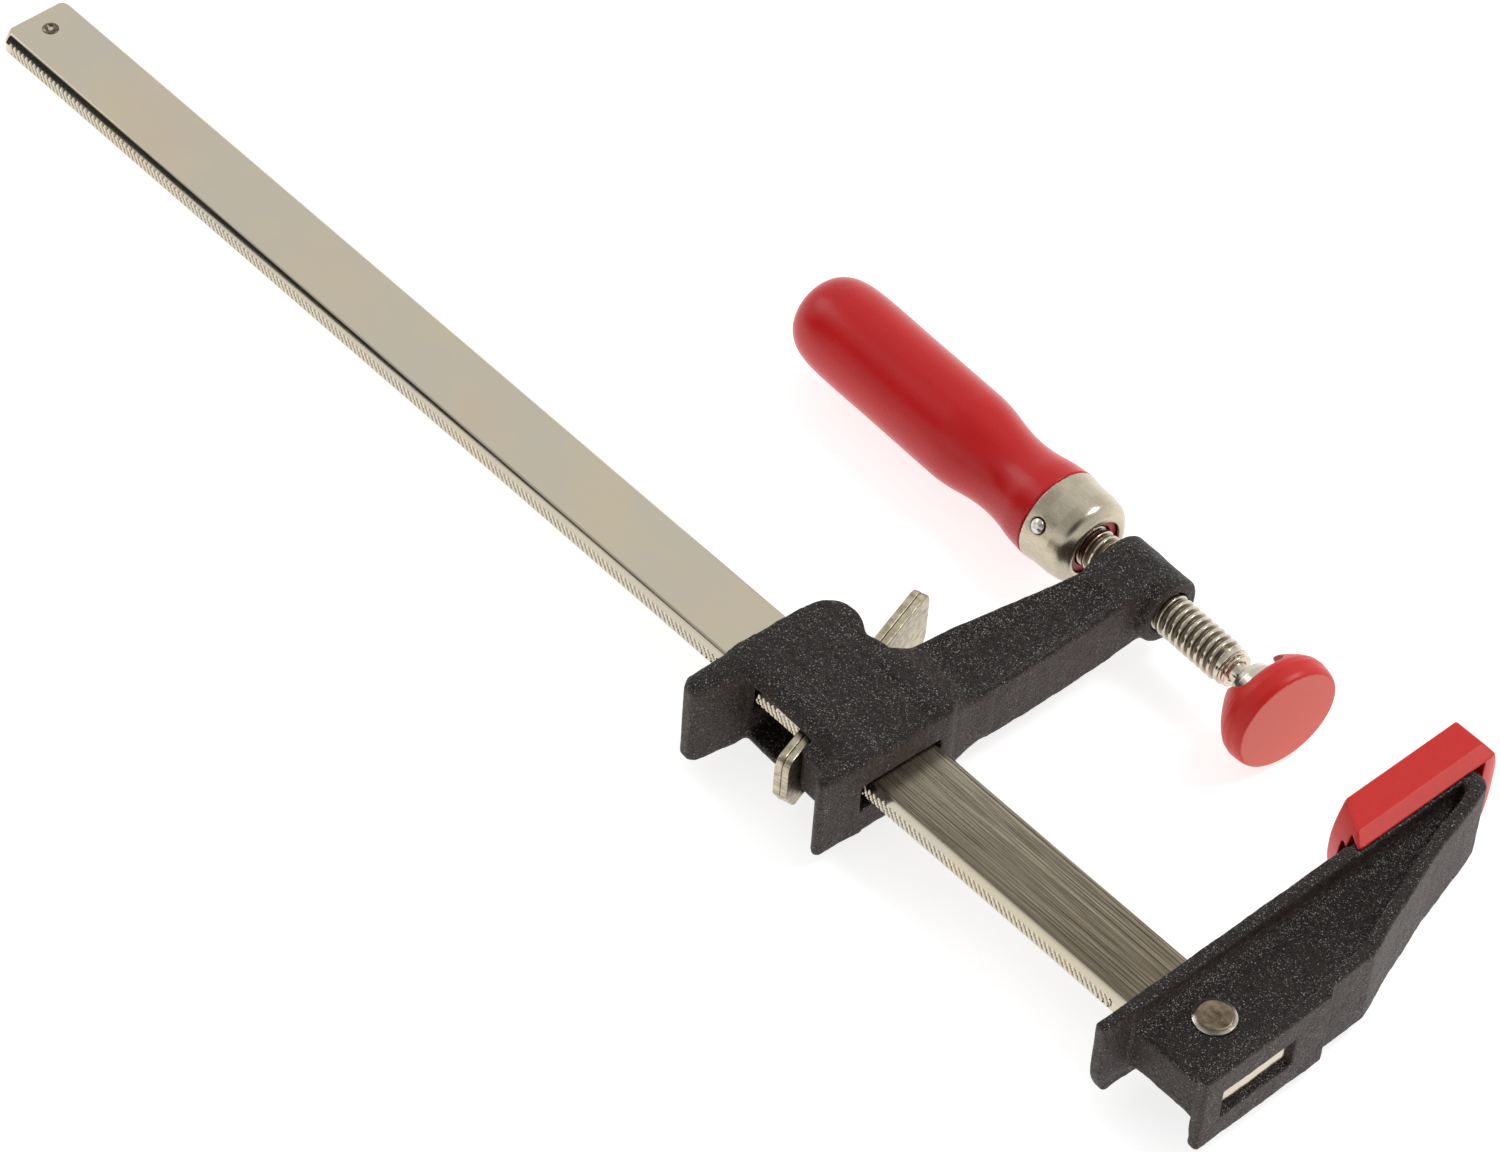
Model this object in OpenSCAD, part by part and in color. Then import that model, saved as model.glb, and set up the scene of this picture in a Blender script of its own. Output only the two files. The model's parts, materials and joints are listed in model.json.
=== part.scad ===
// F clamp: a flat serrated bar with a riveted cast jaw at one end, and a cast
// arm that slides along it on two clutch plates and carries the clamping screw.
// Frame: X runs along the bar towards the fixed jaw, Y from the bar to the jaw
// tips, Z is normal to the clamp. The origin is the centre of the fixed jaw's
// clamping face, on the level of the screw.

/* [Bar] */
// Width of the bar across its two serrated edges
bar_w = 19.8; // [19:0.1:20.5]
// Thickness of the bar
bar_t = 6.68; // [6:0.1:6.9]
// Distance from the clamping face to the free end of the bar
bar_reach = 371.29; // [300:1:600]
// Width of the sloping corner along each edge
bar_chamfer = 1.52; // [1:0.1:2]
// Flat band left between the two sloping corners
bar_band = 2.74; // [2:0.1:3.4]
// Radius of the two corners at the free end
bar_corner = 2.2; // [1:0.1:4]
// Diameter of the stop pin near the free end
stop_d = 4.2; // [3:0.1:5]
// Height of the stop pin above each face of the bar
stop_h = 0.9; // [0.8:0.1:1.5]

/* [Reach] */
// Screw axis to the middle of the bar
axis_y = 77.6; // [70:0.5:90]
// Position of the sliding arm along the bar, back face of its hub
arm_x = -111.93; // [-350:1:-90]
// Lean of the sliding arm when it hangs free on the bar, in degrees
arm_lean = -2.22; // [-2.5:0.1:0]

/* [Fixed jaw] */
// Height of the jaw's two flanges
jaw_h = 21.96; // [20.5:0.5:26]
// Thickness of the flanges
flange_t = 3.2; // [2.4:0.1:4]
// Thickness of the web beyond the bar
web_t = 8.1; // [6:0.2:9]
// Thickness of the web where the bar runs through it
web_bar_t = 11.51; // [10:0.2:13]
// Diameter of the rivet's heads
rivet_head_d = 9.23; // [8:0.1:11]
// Diameter of the rivet's shank
rivet_d = 5; // [4:0.1:6]

/* [Sliding arm] */
// Height of the hub around the bar
hub_h = 23.45; // [21:0.5:26]
// Length of the hub along the bar
hub_l = 41.57; // [39:0.5:46]
// Height of the arm between the hub and the screw boss
arm_h = 16.2; // [14:0.2:18]
// Diameter of the screw boss
boss_d = 16.42; // [15:0.1:18]
// Length of the screw boss
boss_l = 17.7; // [16:0.2:20]

/* [Clutch] */
// Thickness of one clutch plate
plate_t = 1.75; // [1.2:0.05:2]
// Width of the clutch plates
plate_w = 16.42; // [15:0.1:17]
// Tilt of the clutch plates from square, in degrees
plate_tilt = 19.2; // [17:0.1:20]
// Wire of the clutch spring
spring_wire = 0.8; // [0.5:0.1:1]
// Coils of the clutch spring
spring_coils = 6; // [4:1:9]

/* [Screw] */
// Outside diameter of the screw
screw_d = 10; // [9:0.1:10.4]
// Pitch of the screw
screw_pitch = 2; // [1.5:0.5:3]
// Largest diameter of the handle
handle_d = 23.35; // [20:0.2:28]
// Length of the wooden handle up to the ferrule's rim
handle_l = 82.93; // [70:1:110]
// Diameter of the ferrule at its rim
ferrule_d = 23.03; // [20:0.2:26]
// Diameter of the pin through the ferrule and the screw
pin_d = 3.41; // [2.5:0.1:4]

/* [Swivel pad] */
// Diameter of the soft cap's clamping face
pad_d = 25.9; // [22:0.2:32]
// Lean of the pad on its ball, in degrees
pad_lean = -5; // [-6:0.5:0]
// Diameter of the ball on the end of the screw
ball_d = 7.89; // [6:0.1:8]

/* [Show] */
// The piece to draw

/* [Hidden] */
$fn = 64;
eps = 0.01;
fit = 0.05;             // running clearance of the round fits
steel = "#beb8a6";
iron = "#2f2b2b";
red = "#cf3a32";
wood_red = "#c4202a";
rivet_grey = "#8a8377";

// bar
bar_top_w = bar_w - 2 * bar_chamfer;
bar_in = 33.05;          // how far the bar runs into the jaw
stop_x = -bar_reach + 6.18;
// fixed jaw, measured from the middle of the bar
face_x = 8.63;         // front of the front flange
back_x = 34.43;        // back of the back flange
jaw_z = jaw_h / 2;
nose_z = 9.81;         // the part of the flange that the cap slides over
rivet_x = 20.57;
rivet_y = 0.53;
rivet_top = 6.72;
web_y = -14.07;
// cap
cap_wall = 2.77;
cap_z = 11.73;
// hub, in the arm's own frame: u along the bar, v towards the screw
hub_z = hub_h / 2;
arm_z = arm_h / 2;
slot_z = bar_t / 2 + 0.35;
slot_v0 = -(bar_w / 2 + 0.5);
slot_v1 = bar_w / 2 + hub_l * tan(-arm_lean) + 0.35;
cav_z = plate_w / 2 + 0.5;
wall_back = 7.04;
wall_front = hub_l - 6.4;
// clutch plates: the plane between them crosses the bar's middle at u = plate_u
plate_u = 21.32;
plate_n = [cos(plate_tilt), sin(plate_tilt)];
plate_lo = -23.24;     // ends of the plates, along their own length
plate_hi = 36.46;
nose_r = 2.56;
nose_v = -14.66;
nose_u = plate_u - nose_v * tan(plate_tilt) + (plate_t + fit + nose_r) / cos(plate_tilt);
spring_v = 14.82;
spring_u0 = plate_u - spring_v * tan(plate_tilt) + (plate_t + 0.15) / cos(plate_tilt) + 2.4 * tan(plate_tilt);
spring_u1 = 33.05;
spring_r = 2.25;
// screw, measured along its axis from the plane of the hub's back face
boss_u1 = 41.79;
boss_u0 = boss_u1 - boss_l;
thread_u1 = 60.44;
shoulder_u = 62.57;
thread_u0 = 3.73;
tang_u = -25.58;
ball_u = 69.82;
neck_r = 2.4;
ball_r = ball_d / 2;
// handle and ferrule
ferrule_u0 = 5.54;
ferrule_u1 = 18.34;
pin_u = 8.95;
pin_a = 150;            // direction of the pin around the screw
handle_u0 = ferrule_u0 - handle_l;
// pad, measured along its own axis from the ball
pad_face = 10.45;

// Puts children in the sliding arm's frame: u, v, z with the bar's middle at v = 0
module in_arm() {
    translate([arm_x, -axis_y, 0]) rotate([0, 0, arm_lean]) children();
}

// Puts children on the screw axis, with their Z along it and zero at u = 0
module on_screw() {
    in_arm() translate([0, axis_y, 0]) rotate([90, 0, 90]) children();
}

// Puts children on the pad's own axis, with their Z out of the clamping face
module on_pad() {
    in_arm() translate([ball_u, axis_y, 0]) rotate([0, 0, pad_lean]) rotate([90, 0, 90]) children();
}

// Puts a flat shape in a plate's plane: x along the plate, y across it
module in_plate(off) {
    in_arm() translate([plate_u, 0, 0]) rotate([0, 0, plate_tilt]) translate([off, 0, 0])
        rotate([90, 0, 90]) linear_extrude(plate_t) children();
}

// Rectangle with rounded corners
module round_rect(x0, y0, x1, y1, r) {
    union() {
        translate([x0 + r, y0]) square([x1 - x0 - 2 * r, y1 - y0]);
        translate([x0, y0 + r]) square([x1 - x0, y1 - y0 - 2 * r]);
        for (x = [x0 + r, x1 - r], y = [y0 + r, y1 - r]) translate([x, y]) circle(r);
    }
}

module rail() {
    h = bar_w / 2;
    t = bar_t / 2;
    b = bar_band / 2;
    color(steel) translate([0, -axis_y, 0]) difference() {
        translate([-bar_reach, 0, 0]) rotate([90, 0, 90]) linear_extrude(bar_reach + bar_in)
            polygon([[-h, -b], [-h + bar_chamfer, -t], [h - bar_chamfer, -t], [h, -b],
                     [h, b], [h - bar_chamfer, t], [-h + bar_chamfer, t], [-h, b]]);
        // rounded corners at the free end
        for (s = [-1, 1]) translate([-bar_reach, s * h, 0]) difference() {
            translate([-1, s > 0 ? -bar_corner : -1, -t - 1]) cube([bar_corner + 1, bar_corner + 1, bar_t + 2]);
            translate([bar_corner, -s * bar_corner, -t - 2]) cylinder(r = bar_corner, h = bar_t + 4);
        }
        translate([stop_x, 0, -t - 1]) cylinder(d = stop_d, h = bar_t + 2);
        translate([rivet_x, rivet_y, -t - 1]) cylinder(d = rivet_d + 2 * fit, h = bar_t + 2);
    }
}

// Pin pressed through the bar, domed at both ends, that stops the arm
module rail_stop_pin() {
    z = bar_t / 2 + stop_h;
    r = stop_d / 2;
    color(steel) translate([stop_x, -axis_y, 0])
        rotate_extrude() polygon([[0, -z], [r * 0.45, -z], [r * 0.8, -z + 0.25], [r, -z + 0.7],
                                  [r, z - 0.7], [r * 0.8, z - 0.25], [r * 0.45, z], [0, z]]);
}

// Outline of the fixed jaw seen along Z
module jaw_outline() {
    polygon([[face_x, -22.6], [face_x + flange_t, -22.6], [face_x + flange_t, web_y],
             [back_x - flange_t, web_y], [back_x - flange_t, -15.99], [back_x, -16.42], [back_x, 20.25],
             [32.41, 22.71], [32.41, 34.75], [30.81, 39.12], [28.36, 45.3], [26.01, 52.77],
             [22.71, 62.47], [20.47, 70.89], [18.34, 79.42], [16.74, 84.43], [14.5, 87.84],
             [11.73, 89.54], [face_x, 89.97]]);
}

// Hollow between the flanges, cut from both sides down to the web
module jaw_pocket(v0, v1) {
    intersection() {
        polygon([[face_x + flange_t, -31.98], [back_x - flange_t, -31.98], [back_x - flange_t, 18.97],
                 [29.21, 21.53], [29.21, 34.11], [27.72, 37.95], [25.26, 44.24], [22.92, 51.7],
                 [19.61, 61.4], [17.16, 69.82], [15.56, 76.75], [13.96, 81.44], [12.15, 83.15]]);
        translate([0, v0]) square([42.64, v1 - v0]);
    }
}

module fixed_jaw() {
    color(iron) translate([0, -axis_y, 0]) difference() {
        union() {
            difference() {
                translate([0, 0, -jaw_z]) linear_extrude(jaw_h) jaw_outline();
                for (s = [-1, 1]) {
                    // web pockets: shallow over the bar, deep beyond it
                    translate([0, 0, s > 0 ? web_bar_t / 2 : -jaw_z - 1]) linear_extrude(jaw_z + 1 - web_bar_t / 2)
                        jaw_pocket(-31.98, 12.8);
                    translate([0, 0, s > 0 ? web_t / 2 : -jaw_z - 1]) linear_extrude(jaw_z + 1 - web_t / 2)
                        jaw_pocket(12.79, 95.94);
                    // lower flanges where the cap slides on
                    translate([face_x - 1, 50.64, s > 0 ? nose_z : -jaw_z - 1]) cube([flange_t + 1.8, 53.3, jaw_z + 1 - nose_z]);
                }
            }
            // nose that carries the cap
            translate([cap_wall + 0.1, 61.83, -nose_z + 0.8]) cube([face_x - cap_wall + 1, 26.22, 2 * nose_z - 1.6]);
        }
        // bowed tip
        difference() {
            translate([-10.66, 74.62, -21.32]) cube([63.96, 42.64, 42.64]);
            translate([-12.79, 73.98, 0]) rotate([0, 90, 0]) cylinder(r = 16.2, h = 68.22, $fn = 96);
        }
        // mortise for the bar, open at the back
        translate([4.26, -bar_w / 2 - fit, -bar_t / 2 - fit]) cube([42.64, bar_w + 2 * fit, bar_t + 2 * fit]);
        translate([back_x - 1.2, -bar_w / 2 - 0.4, -bar_t / 2 - 0.3]) cube([3, bar_w + 0.8, bar_t + 0.6]);
        translate([rivet_x, rivet_y, -jaw_z]) cylinder(d = rivet_d + 2 * fit, h = jaw_h);
    }
}

module fixed_jaw_rivet() {
    r = rivet_head_d / 2;
    z = rivet_top;
    s = rivet_d / 2;
    b = web_bar_t / 2 + 0.03;
    color(rivet_grey) translate([rivet_x, rivet_y - axis_y, 0])
        rotate_extrude() polygon([[0, -z], [r - 0.7, -z], [r, -z + 0.5], [r, -b], [s, -b],
                                  [s, b], [r, b], [r, z - 0.5], [r - 0.7, z], [0, z]]);
}

module fixed_jaw_cap() {
    color(red) translate([0, -axis_y, 0]) difference() {
        intersection() {
            // cross-section: thick front wall, two lips that thin out backwards
            translate([0, 106.6, 0]) rotate([90, 0, 0]) linear_extrude(63.96)
                polygon([[0, -cap_z], [8.1, -cap_z], [11.09, -nose_z - 0.5], [11.09, nose_z + 0.5], [8.1, cap_z], [0, cap_z]]);
            // seen along Z
            translate([0, 0, -cap_z - 1]) linear_extrude(2 * cap_z + 2)
                polygon([[-1, 56.28], [0, 55.75], [10.02, 49.78], [11.3, 53.3], [11.62, 91.68], [10.02, 96.37], [0, 96.15], [-1, 96.15]]);
            // bowed ends
            translate([0, 55.75, 0]) rotate([0, 0, -30.8]) translate([-31.98, 24.94, 0]) rotate([0, 90, 0]) cylinder(r = 24.94, h = 85.28, $fn = 96);
            union() {
                translate([-10.66, 96.37 - 20.25, 0]) rotate([0, 90, 0]) cylinder(r = 20.25, h = 42.64, $fn = 96);
                translate([-10.66, 0, -21.32]) cube([42.64, 76.75, 42.64]);
            }
        }
        // hollow for the nose and the flange, open at the back and below
        translate([cap_wall, 60.76, -nose_z - 0.1]) cube([21.32, 29.63, 2 * nose_z + 0.2]);
        translate([4.9, 42.64, -6.82]) cube([21.32, 21.32, 13.64]);
        translate([7.04, 42.64, -nose_z - 0.1]) cube([21.32, 21.32, 2 * nose_z + 0.2]);
        translate([face_x + flange_t - 0.2, 42.64, -21.32]) cube([21.32, 63.96, 42.64]);
    }
}

// Arm with its hub, in the arm's frame, before any hole is made
module arm_body() {
    // hub block with the rounded shoulder on its back corner
    translate([0, 0, -hub_z]) linear_extrude(hub_h) difference() {
        union() {
            polygon([[-0.3, -12.26], [hub_l, -12.26], [hub_l, 14.92], [hub_l - 1.5, 16.31], [20.47, 16.31], [13.43, 14.5], [6.4, 16.2], [-0.3, 9.59]]);
            translate([6.61, 10.23]) circle(6.93);
        }
    }
    // roof of the clutch chamber, which overhangs further than its floor
    translate([-0.3, 0, 0]) rotate([90, 0, 90]) linear_extrude(hub_l + 0.3)
        polygon([[-10, cav_z], [-13.5, cav_z], [-13.7, cav_z + 0.9], [-12.9, hub_z - 0.8], [-10.7, hub_z], [-10, hub_z]]);
    // slopes from the hub down to the arm
    translate([20.47, 0, 0]) rotate([90, 0, 90]) linear_extrude(hub_l - 21.96)
        polygon([[14.92, -hub_z], [16.31, -hub_z], [21.32, -arm_z], [21.32, arm_z], [16.31, hub_z], [14.92, hub_z]]);
    // the two legs that straddle the bar
    translate([0, 0, -hub_z]) linear_extrude(hub_h) {
        polygon([[0, -24.52], [1.49, -26.33], [4.37, -26.54], [5.65, -24.94], [wall_back, -14.92], [wall_back, -10.66], [-0.3, -10.66]]);
        polygon([[wall_front, -10.66], [wall_front, -14.92], [hub_l - 2.77, -21.32], [hub_l - 1.28, -21.96], [hub_l - 0.2, -21.11], [hub_l, -10.66]]);
    }
    // arm
    translate([0, 0, -arm_z]) linear_extrude(arm_h)
        polygon([[20.47, 14.92], [20.47, 21.32], [21.32, 31.66], [23.24, 44.35], [25.16, 57.03], [26.22, 65.03],
                 [boss_u0, 69.72], [boss_u0, axis_y], [38.8, axis_y], [38.8, 70.36], [39.55, 60.44], [40.08, 45.3], [40.19, 30.81], [39.66, 22.07], [40.51, 18.12], [40.51, 14.92]]);
    // boss
    translate([boss_u0, axis_y, 0]) rotate([0, 90, 0]) cylinder(d = boss_d, h = boss_l);
}

module sliding_arm() {
    color(iron) in_arm() difference() {
        union() {
            difference() {
                arm_body();
                // chamber for the clutch plates, open below and where the lever comes out
                translate([wall_back, -42.64, -cav_z]) cube([wall_front - wall_back, 42.64 + bar_w / 2 + 0.4, 2 * cav_z]);
                translate([0, 0, -cav_z]) linear_extrude(2 * cav_z)
                    polygon([[13.22, 8.53], [11.09, 17.06], [10.66, 25.58], [20.47, 25.58], [20.47, 16.31], [22.81, 8.53]]);
                // shallow panel on each face of the arm
                for (s = [-1, 1]) translate([0, 0, s > 0 ? arm_z - 1.4 : -arm_z - 10]) linear_extrude(s > 0 ? 1.5 : 11.4)
                    intersection() {
                        polygon([[23.24, 22.92], [24.94, 21.96], [37.95, 21.96], [38.7, 29.85], [38.59, 44.77], [37.74, 60.76], [35.6, 64.6], [29.85, 64.6], [27.72, 60.76]]);
                        translate([10.66, 20.25]) square([42.64, 63.96]);
                    }
            }
            // rib that the plates rock on
            translate([nose_u, nose_v, -2]) cylinder(r = nose_r, h = cav_z + 2.5);
            translate([nose_u, nose_v - nose_r, -2]) cube([wall_front + 1 - nose_u, 2 * nose_r, cav_z + 2.5]);
        }
        // mortise for the bar
        translate([-5, slot_v0, -slot_z]) cube([hub_l + 10, slot_v1 - slot_v0, 2 * slot_z]);
        // pocket for the clutch spring
        translate([14.92, spring_v, 0]) rotate([0, 90, 0]) cylinder(r = spring_r + spring_wire / 2 + 0.25, h = spring_u1 - 14.92 + 0.1);
        // threaded hole for the screw, drawn at its outside diameter
        translate([boss_u0 - 1, axis_y, 0]) rotate([0, 90, 0]) cylinder(d = screw_d + 2 * fit, h = boss_l + 2);
    }
}

// One clutch plate with its window for the bar; off is its place in the stack
module clutch_plate(off) {
    g = 0.45;
    difference() {
        in_plate(off) difference() {
            intersection() {
                round_rect(plate_lo, -plate_w / 2, plate_hi, plate_w / 2, 3);
                polygon([[plate_lo + 4.26, -plate_w], [plate_lo - 1, 1.07], [plate_lo - 1, plate_w], [plate_hi + 1, plate_w], [plate_hi + 1, -plate_w]]);
            }
            translate([-bar_w / 2 / cos(plate_tilt) - g - plate_t * tan(plate_tilt), -bar_t / 2 - g])
                square([bar_w / cos(plate_tilt) + 2 * g + 2 * plate_t * tan(plate_tilt) + 1.28, bar_t + 2 * g]);
        }
    }
}

module clutch_plate_1() {
    color(steel) clutch_plate(-plate_t);
}

module clutch_plate_2() {
    color(steel) clutch_plate(0.04);
}

// Compression spring: a wire swept along a helix, with flat closed ends
module clutch_spring() {
    len = spring_u1 - spring_u0 - spring_wire;
    seg = 18;
    n = spring_coils * seg;
    m = 8;
    q = spring_wire / 2;
    function along(i) = let (c = i / seg) c < 1 ? c * spring_wire * 1.05
        : c > spring_coils - 1 ? len - (spring_coils - c) * spring_wire * 1.05
        : spring_wire * 1.05 + (c - 1) / (spring_coils - 2) * (len - 2.1 * spring_wire);
    pts = [for (i = [0 : n]) let (a = 360 * i / seg) for (j = [0 : m - 1]) let (b = 360 * j / m)
        [(spring_r + q * cos(b)) * cos(a), (spring_r + q * cos(b)) * sin(a), along(i) + q * sin(b)]];
    faces = concat(
        [for (i = [0 : n - 1], j = [0 : m - 1]) [i * m + j, i * m + (j + 1) % m, (i + 1) * m + (j + 1) % m]],
        [for (i = [0 : n - 1], j = [0 : m - 1]) [i * m + j, (i + 1) * m + (j + 1) % m, (i + 1) * m + j]],
        [[for (j = [m - 1 : -1 : 0]) j]], [[for (j = [0 : m - 1]) n * m + j]]);
    color(steel) in_arm() translate([spring_u0 + spring_wire / 2, spring_v, 0]) rotate([0, 90, 0]) polyhedron(pts, faces);
}

// Screw: threaded part drawn as rings, tang in the handle, neck and ball
module screw() {
    r = screw_d / 2;
    d = 0.62 * screw_pitch / 2;
    n = floor((thread_u1 - thread_u0) / screw_pitch);
    nb = 10;
    ring = [for (i = [0 : n - 1]) let (u = thread_u0 + i * screw_pitch)
        each [[r - 2 * d, u + 0.1 * screw_pitch], [r, u + 0.4 * screw_pitch], [r, u + 0.6 * screw_pitch], [r - 2 * d, u + 0.9 * screw_pitch]]];
    a0 = asin(neck_r / ball_r);
    ball = [for (i = [0 : nb]) let (a = a0 + (180 - a0) * i / nb) [max(0, ball_r * sin(a)), ball_u - ball_r * cos(a)]];
    color(steel) on_screw() difference() {
        rotate_extrude() polygon(concat([[0, tang_u], [r - 1.6, tang_u], [r - 1.6, thread_u0]], ring,
            [[r - 2 * d, thread_u1], [r - 0.4, thread_u1 + 0.6], [r - 0.4, shoulder_u - 0.6], [r - 1.1, shoulder_u], [neck_r, shoulder_u]], ball));
        translate([0, 0, pin_u]) rotate([0, 0, pin_a]) rotate([0, 90, 0]) cylinder(d = pin_d, h = 30, center = true);
    }
}

// Loose washer on the neck, between the screw's shoulder and the pad
module neck_washer() {
    color(steel) on_screw() translate([0, 0, shoulder_u + 0.12]) difference() {
        cylinder(r = 4.16, h = 0.6);
        translate([0, 0, -1]) cylinder(r = neck_r + 0.35, h = 3);
    }
}

// Steel pad with the collar that holds the ball
module swivel_pad() {
    nb = 8;
    r = ball_r + fit;
    a0 = 43;
    sock = [for (i = [0 : nb]) let (a = a0 + (180 - a0) * i / nb) [max(0, r * sin(a)), -r * cos(a)]];
    color(steel) on_pad() rotate_extrude() polygon(concat(sock,
        [[0, 7.2], [11.3, 7.2], [11.83, 6.72], [11.83, 4.48], [11.3, 4], [7.25, 3.84], [5.97, 2.35],
         [5.54, -1.71], [4.9, -3.3], [3.84, -3.62], [r * sin(a0) + 0.3, -3.62]]));
}

// Soft cap over the steel pad, with the side notch that it is pushed on through
module swivel_pad_cap() {
    p = pad_d / 2;
    color(red) on_pad() difference() {
        rotate_extrude() polygon([[0, pad_face], [p - 0.6, pad_face], [p, pad_face - 0.25], [p + 0.7, pad_face - 1.3], [p + 0.9, 6.4],
            [p + 0.6, 4.9], [p - 0.3, 3.41], [p - 1.6, 1.71], [p - 3.2, 0], [p - 5.4, -2.03], [6.61, -2.03], [6.72, 2.45], [7.46, 3.62], [11.99, 3.84], [11.99, 7.3], [0, 7.3]]);
        // notch in the back lip
        rotate([0, 0, -5]) translate([-5.22, 0, -4.26]) cube([10.45, 21.32, 7.78]);
    }
}

// Turned handle with a domed end, a waist and a bore for the screw's tang
module handle() {
    p = handle_d / 2;
    z = handle_u0;
    w = ferrule_u0;
    f = ferrule_d / 2;
    color(wood_red) on_screw() difference() {
        rotate_extrude() polygon([[0, z], [p * 0.33, z + 0.45], [p * 0.6, z + 1.6], [p * 0.8, z + 3.6], [p * 0.93, z + 6.4], [p * 0.985, z + 9.5],
            [p, z + 13], [p, w - 30.91], [p * 0.978, w - 26.86], [p * 0.945, w - 24.3], [p * 0.90, w - 21.53], [p * 0.862, w - 18.55],
            [p * 0.842, w - 15.35], [p * 0.848, w - 12.15], [p * 0.884, w - 8.74], [p * 0.94, w - 5.33], [f - 0.1, w - 1.49], [f - 0.1, w - 0.05],
            [f - 1.05, w - 0.05], [f - 1.25, w + 5.33], [f - 1.6, w + 9.17], [6.93, w + 11.73], [0, w + 11.73]]);
        translate([0, 0, tang_u - 0.5]) cylinder(r = screw_d / 2 + 0.15, h = 63.96);
        translate([0, 0, pin_u]) rotate([0, 0, pin_a]) rotate([0, 90, 0]) cylinder(d = pin_d, h = 40, center = true);
    }
}

// Plated cup pressed over the handle's end
module ferrule() {
    f = ferrule_d / 2;
    color(steel) on_screw() difference() {
        rotate_extrude() polygon([[f, ferrule_u0], [f - 0.15, 7.46], [f - 0.4, 11.94], [f - 0.9, 15.14], [f - 1.9, 17.06], [f - 3.2, 18.12],
            [7.68, ferrule_u1], [6.93, ferrule_u1 - 0.3], [6.93, 17.32], [f - 1.5, 14.76], [f - 1.15, 10.87], [f - 1.0, ferrule_u0]]);
        translate([0, 0, pin_u]) rotate([0, 0, pin_a]) rotate([0, 90, 0]) cylinder(d = pin_d, h = 40, center = true);
    }
}

// Pin through ferrule, handle and screw
module handle_pin() {
    l = ferrule_d / 2 + 0.35;
    color(steel) on_screw() translate([0, 0, pin_u]) rotate([0, 0, pin_a]) rotate([0, 90, 0])
        rotate_extrude() polygon([[0, -l], [pin_d * 0.36, -l], [pin_d / 2 - fit, -l + 0.35], [pin_d / 2 - fit, l - 0.35], [pin_d * 0.36, l], [0, l]]);
}

rail();
rail_stop_pin();
fixed_jaw();
fixed_jaw_rivet();
fixed_jaw_cap();
sliding_arm();
clutch_plate_1();
clutch_plate_2();
clutch_spring();
screw();
neck_washer();
swivel_pad();
swivel_pad_cap();
handle();
ferrule();
handle_pin();
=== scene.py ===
import json
import math
import bpy
import numpy as np
from mathutils import Vector, Matrix


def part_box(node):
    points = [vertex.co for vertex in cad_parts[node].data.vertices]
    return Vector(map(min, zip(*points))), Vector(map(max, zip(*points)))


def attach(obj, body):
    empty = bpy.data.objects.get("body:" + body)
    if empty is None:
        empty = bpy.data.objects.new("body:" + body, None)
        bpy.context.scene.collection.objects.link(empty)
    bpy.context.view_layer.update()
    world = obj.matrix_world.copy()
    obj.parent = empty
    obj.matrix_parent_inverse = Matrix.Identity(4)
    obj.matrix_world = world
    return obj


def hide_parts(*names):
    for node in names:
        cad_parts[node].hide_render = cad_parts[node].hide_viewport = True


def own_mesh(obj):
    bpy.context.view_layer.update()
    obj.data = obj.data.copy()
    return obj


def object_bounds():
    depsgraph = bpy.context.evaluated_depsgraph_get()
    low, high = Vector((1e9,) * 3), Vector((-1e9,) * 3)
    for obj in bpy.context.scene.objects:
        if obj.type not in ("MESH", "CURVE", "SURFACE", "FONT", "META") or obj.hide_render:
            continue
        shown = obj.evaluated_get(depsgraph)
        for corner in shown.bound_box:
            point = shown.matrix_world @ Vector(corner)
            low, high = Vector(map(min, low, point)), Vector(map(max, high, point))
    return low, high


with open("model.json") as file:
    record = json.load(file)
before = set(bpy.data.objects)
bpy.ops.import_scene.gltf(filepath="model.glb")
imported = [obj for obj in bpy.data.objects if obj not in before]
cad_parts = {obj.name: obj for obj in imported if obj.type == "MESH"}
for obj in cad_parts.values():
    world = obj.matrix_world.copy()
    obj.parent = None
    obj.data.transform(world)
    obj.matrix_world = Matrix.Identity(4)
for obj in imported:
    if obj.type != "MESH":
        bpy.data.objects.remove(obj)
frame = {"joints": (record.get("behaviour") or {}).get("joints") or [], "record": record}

cad_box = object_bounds()
J = {j["name"]: j for j in frame["joints"]}
rec = frame["record"]

# ---------------------------------------------------------------- frame (millimetres in here, metres in the meshes)
lo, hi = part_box("rail")
AY = -(lo.y + hi.y) / 2 * 1000
BH = (hi.y - lo.y) / 2 * 1000
BT = (hi.z - lo.z) / 2 * 1000
BX0, BX1 = lo.x * 1000, hi.x * 1000
ax = J["screw_turn"]["axis"]
TH = math.atan2(ax[1], ax[0])
sp = [v * 1000 for v in J["screw_turn"]["pos_m"]]
ct, st = math.cos(TH), math.sin(TH)
OX = sp[0] - (33 * ct - AY * st)
OY = sp[1] - (33 * st + AY * ct)
ARM = Matrix.Translation((OX, OY, 0)) @ Matrix.Rotation(TH, 4, "Z")
AXIS = Matrix(((0, 0, 1, 0), (1, 0, 0, 0), (0, 1, 0, 0), (0, 0, 0, 1)))
SCREW = ARM @ Matrix.Translation((0, AY, 0)) @ AXIS
ball = [v * 1000 for v in J["pad_tilt"]["pos_m"]]
pn = [m["axis"] for m in rec["mounts"] if m["name"] == "swivel_pad_face"][0]
PAD = Matrix.Translation(ball) @ Matrix.Rotation(math.atan2(pn[1], pn[0]), 4, "Z") @ AXIS
JAW = Matrix.Translation((0, -AY, 0))
WORLD = Matrix.Identity(4)
BALL_U = (ARM.inverted() @ Vector(ball)).x


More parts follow.
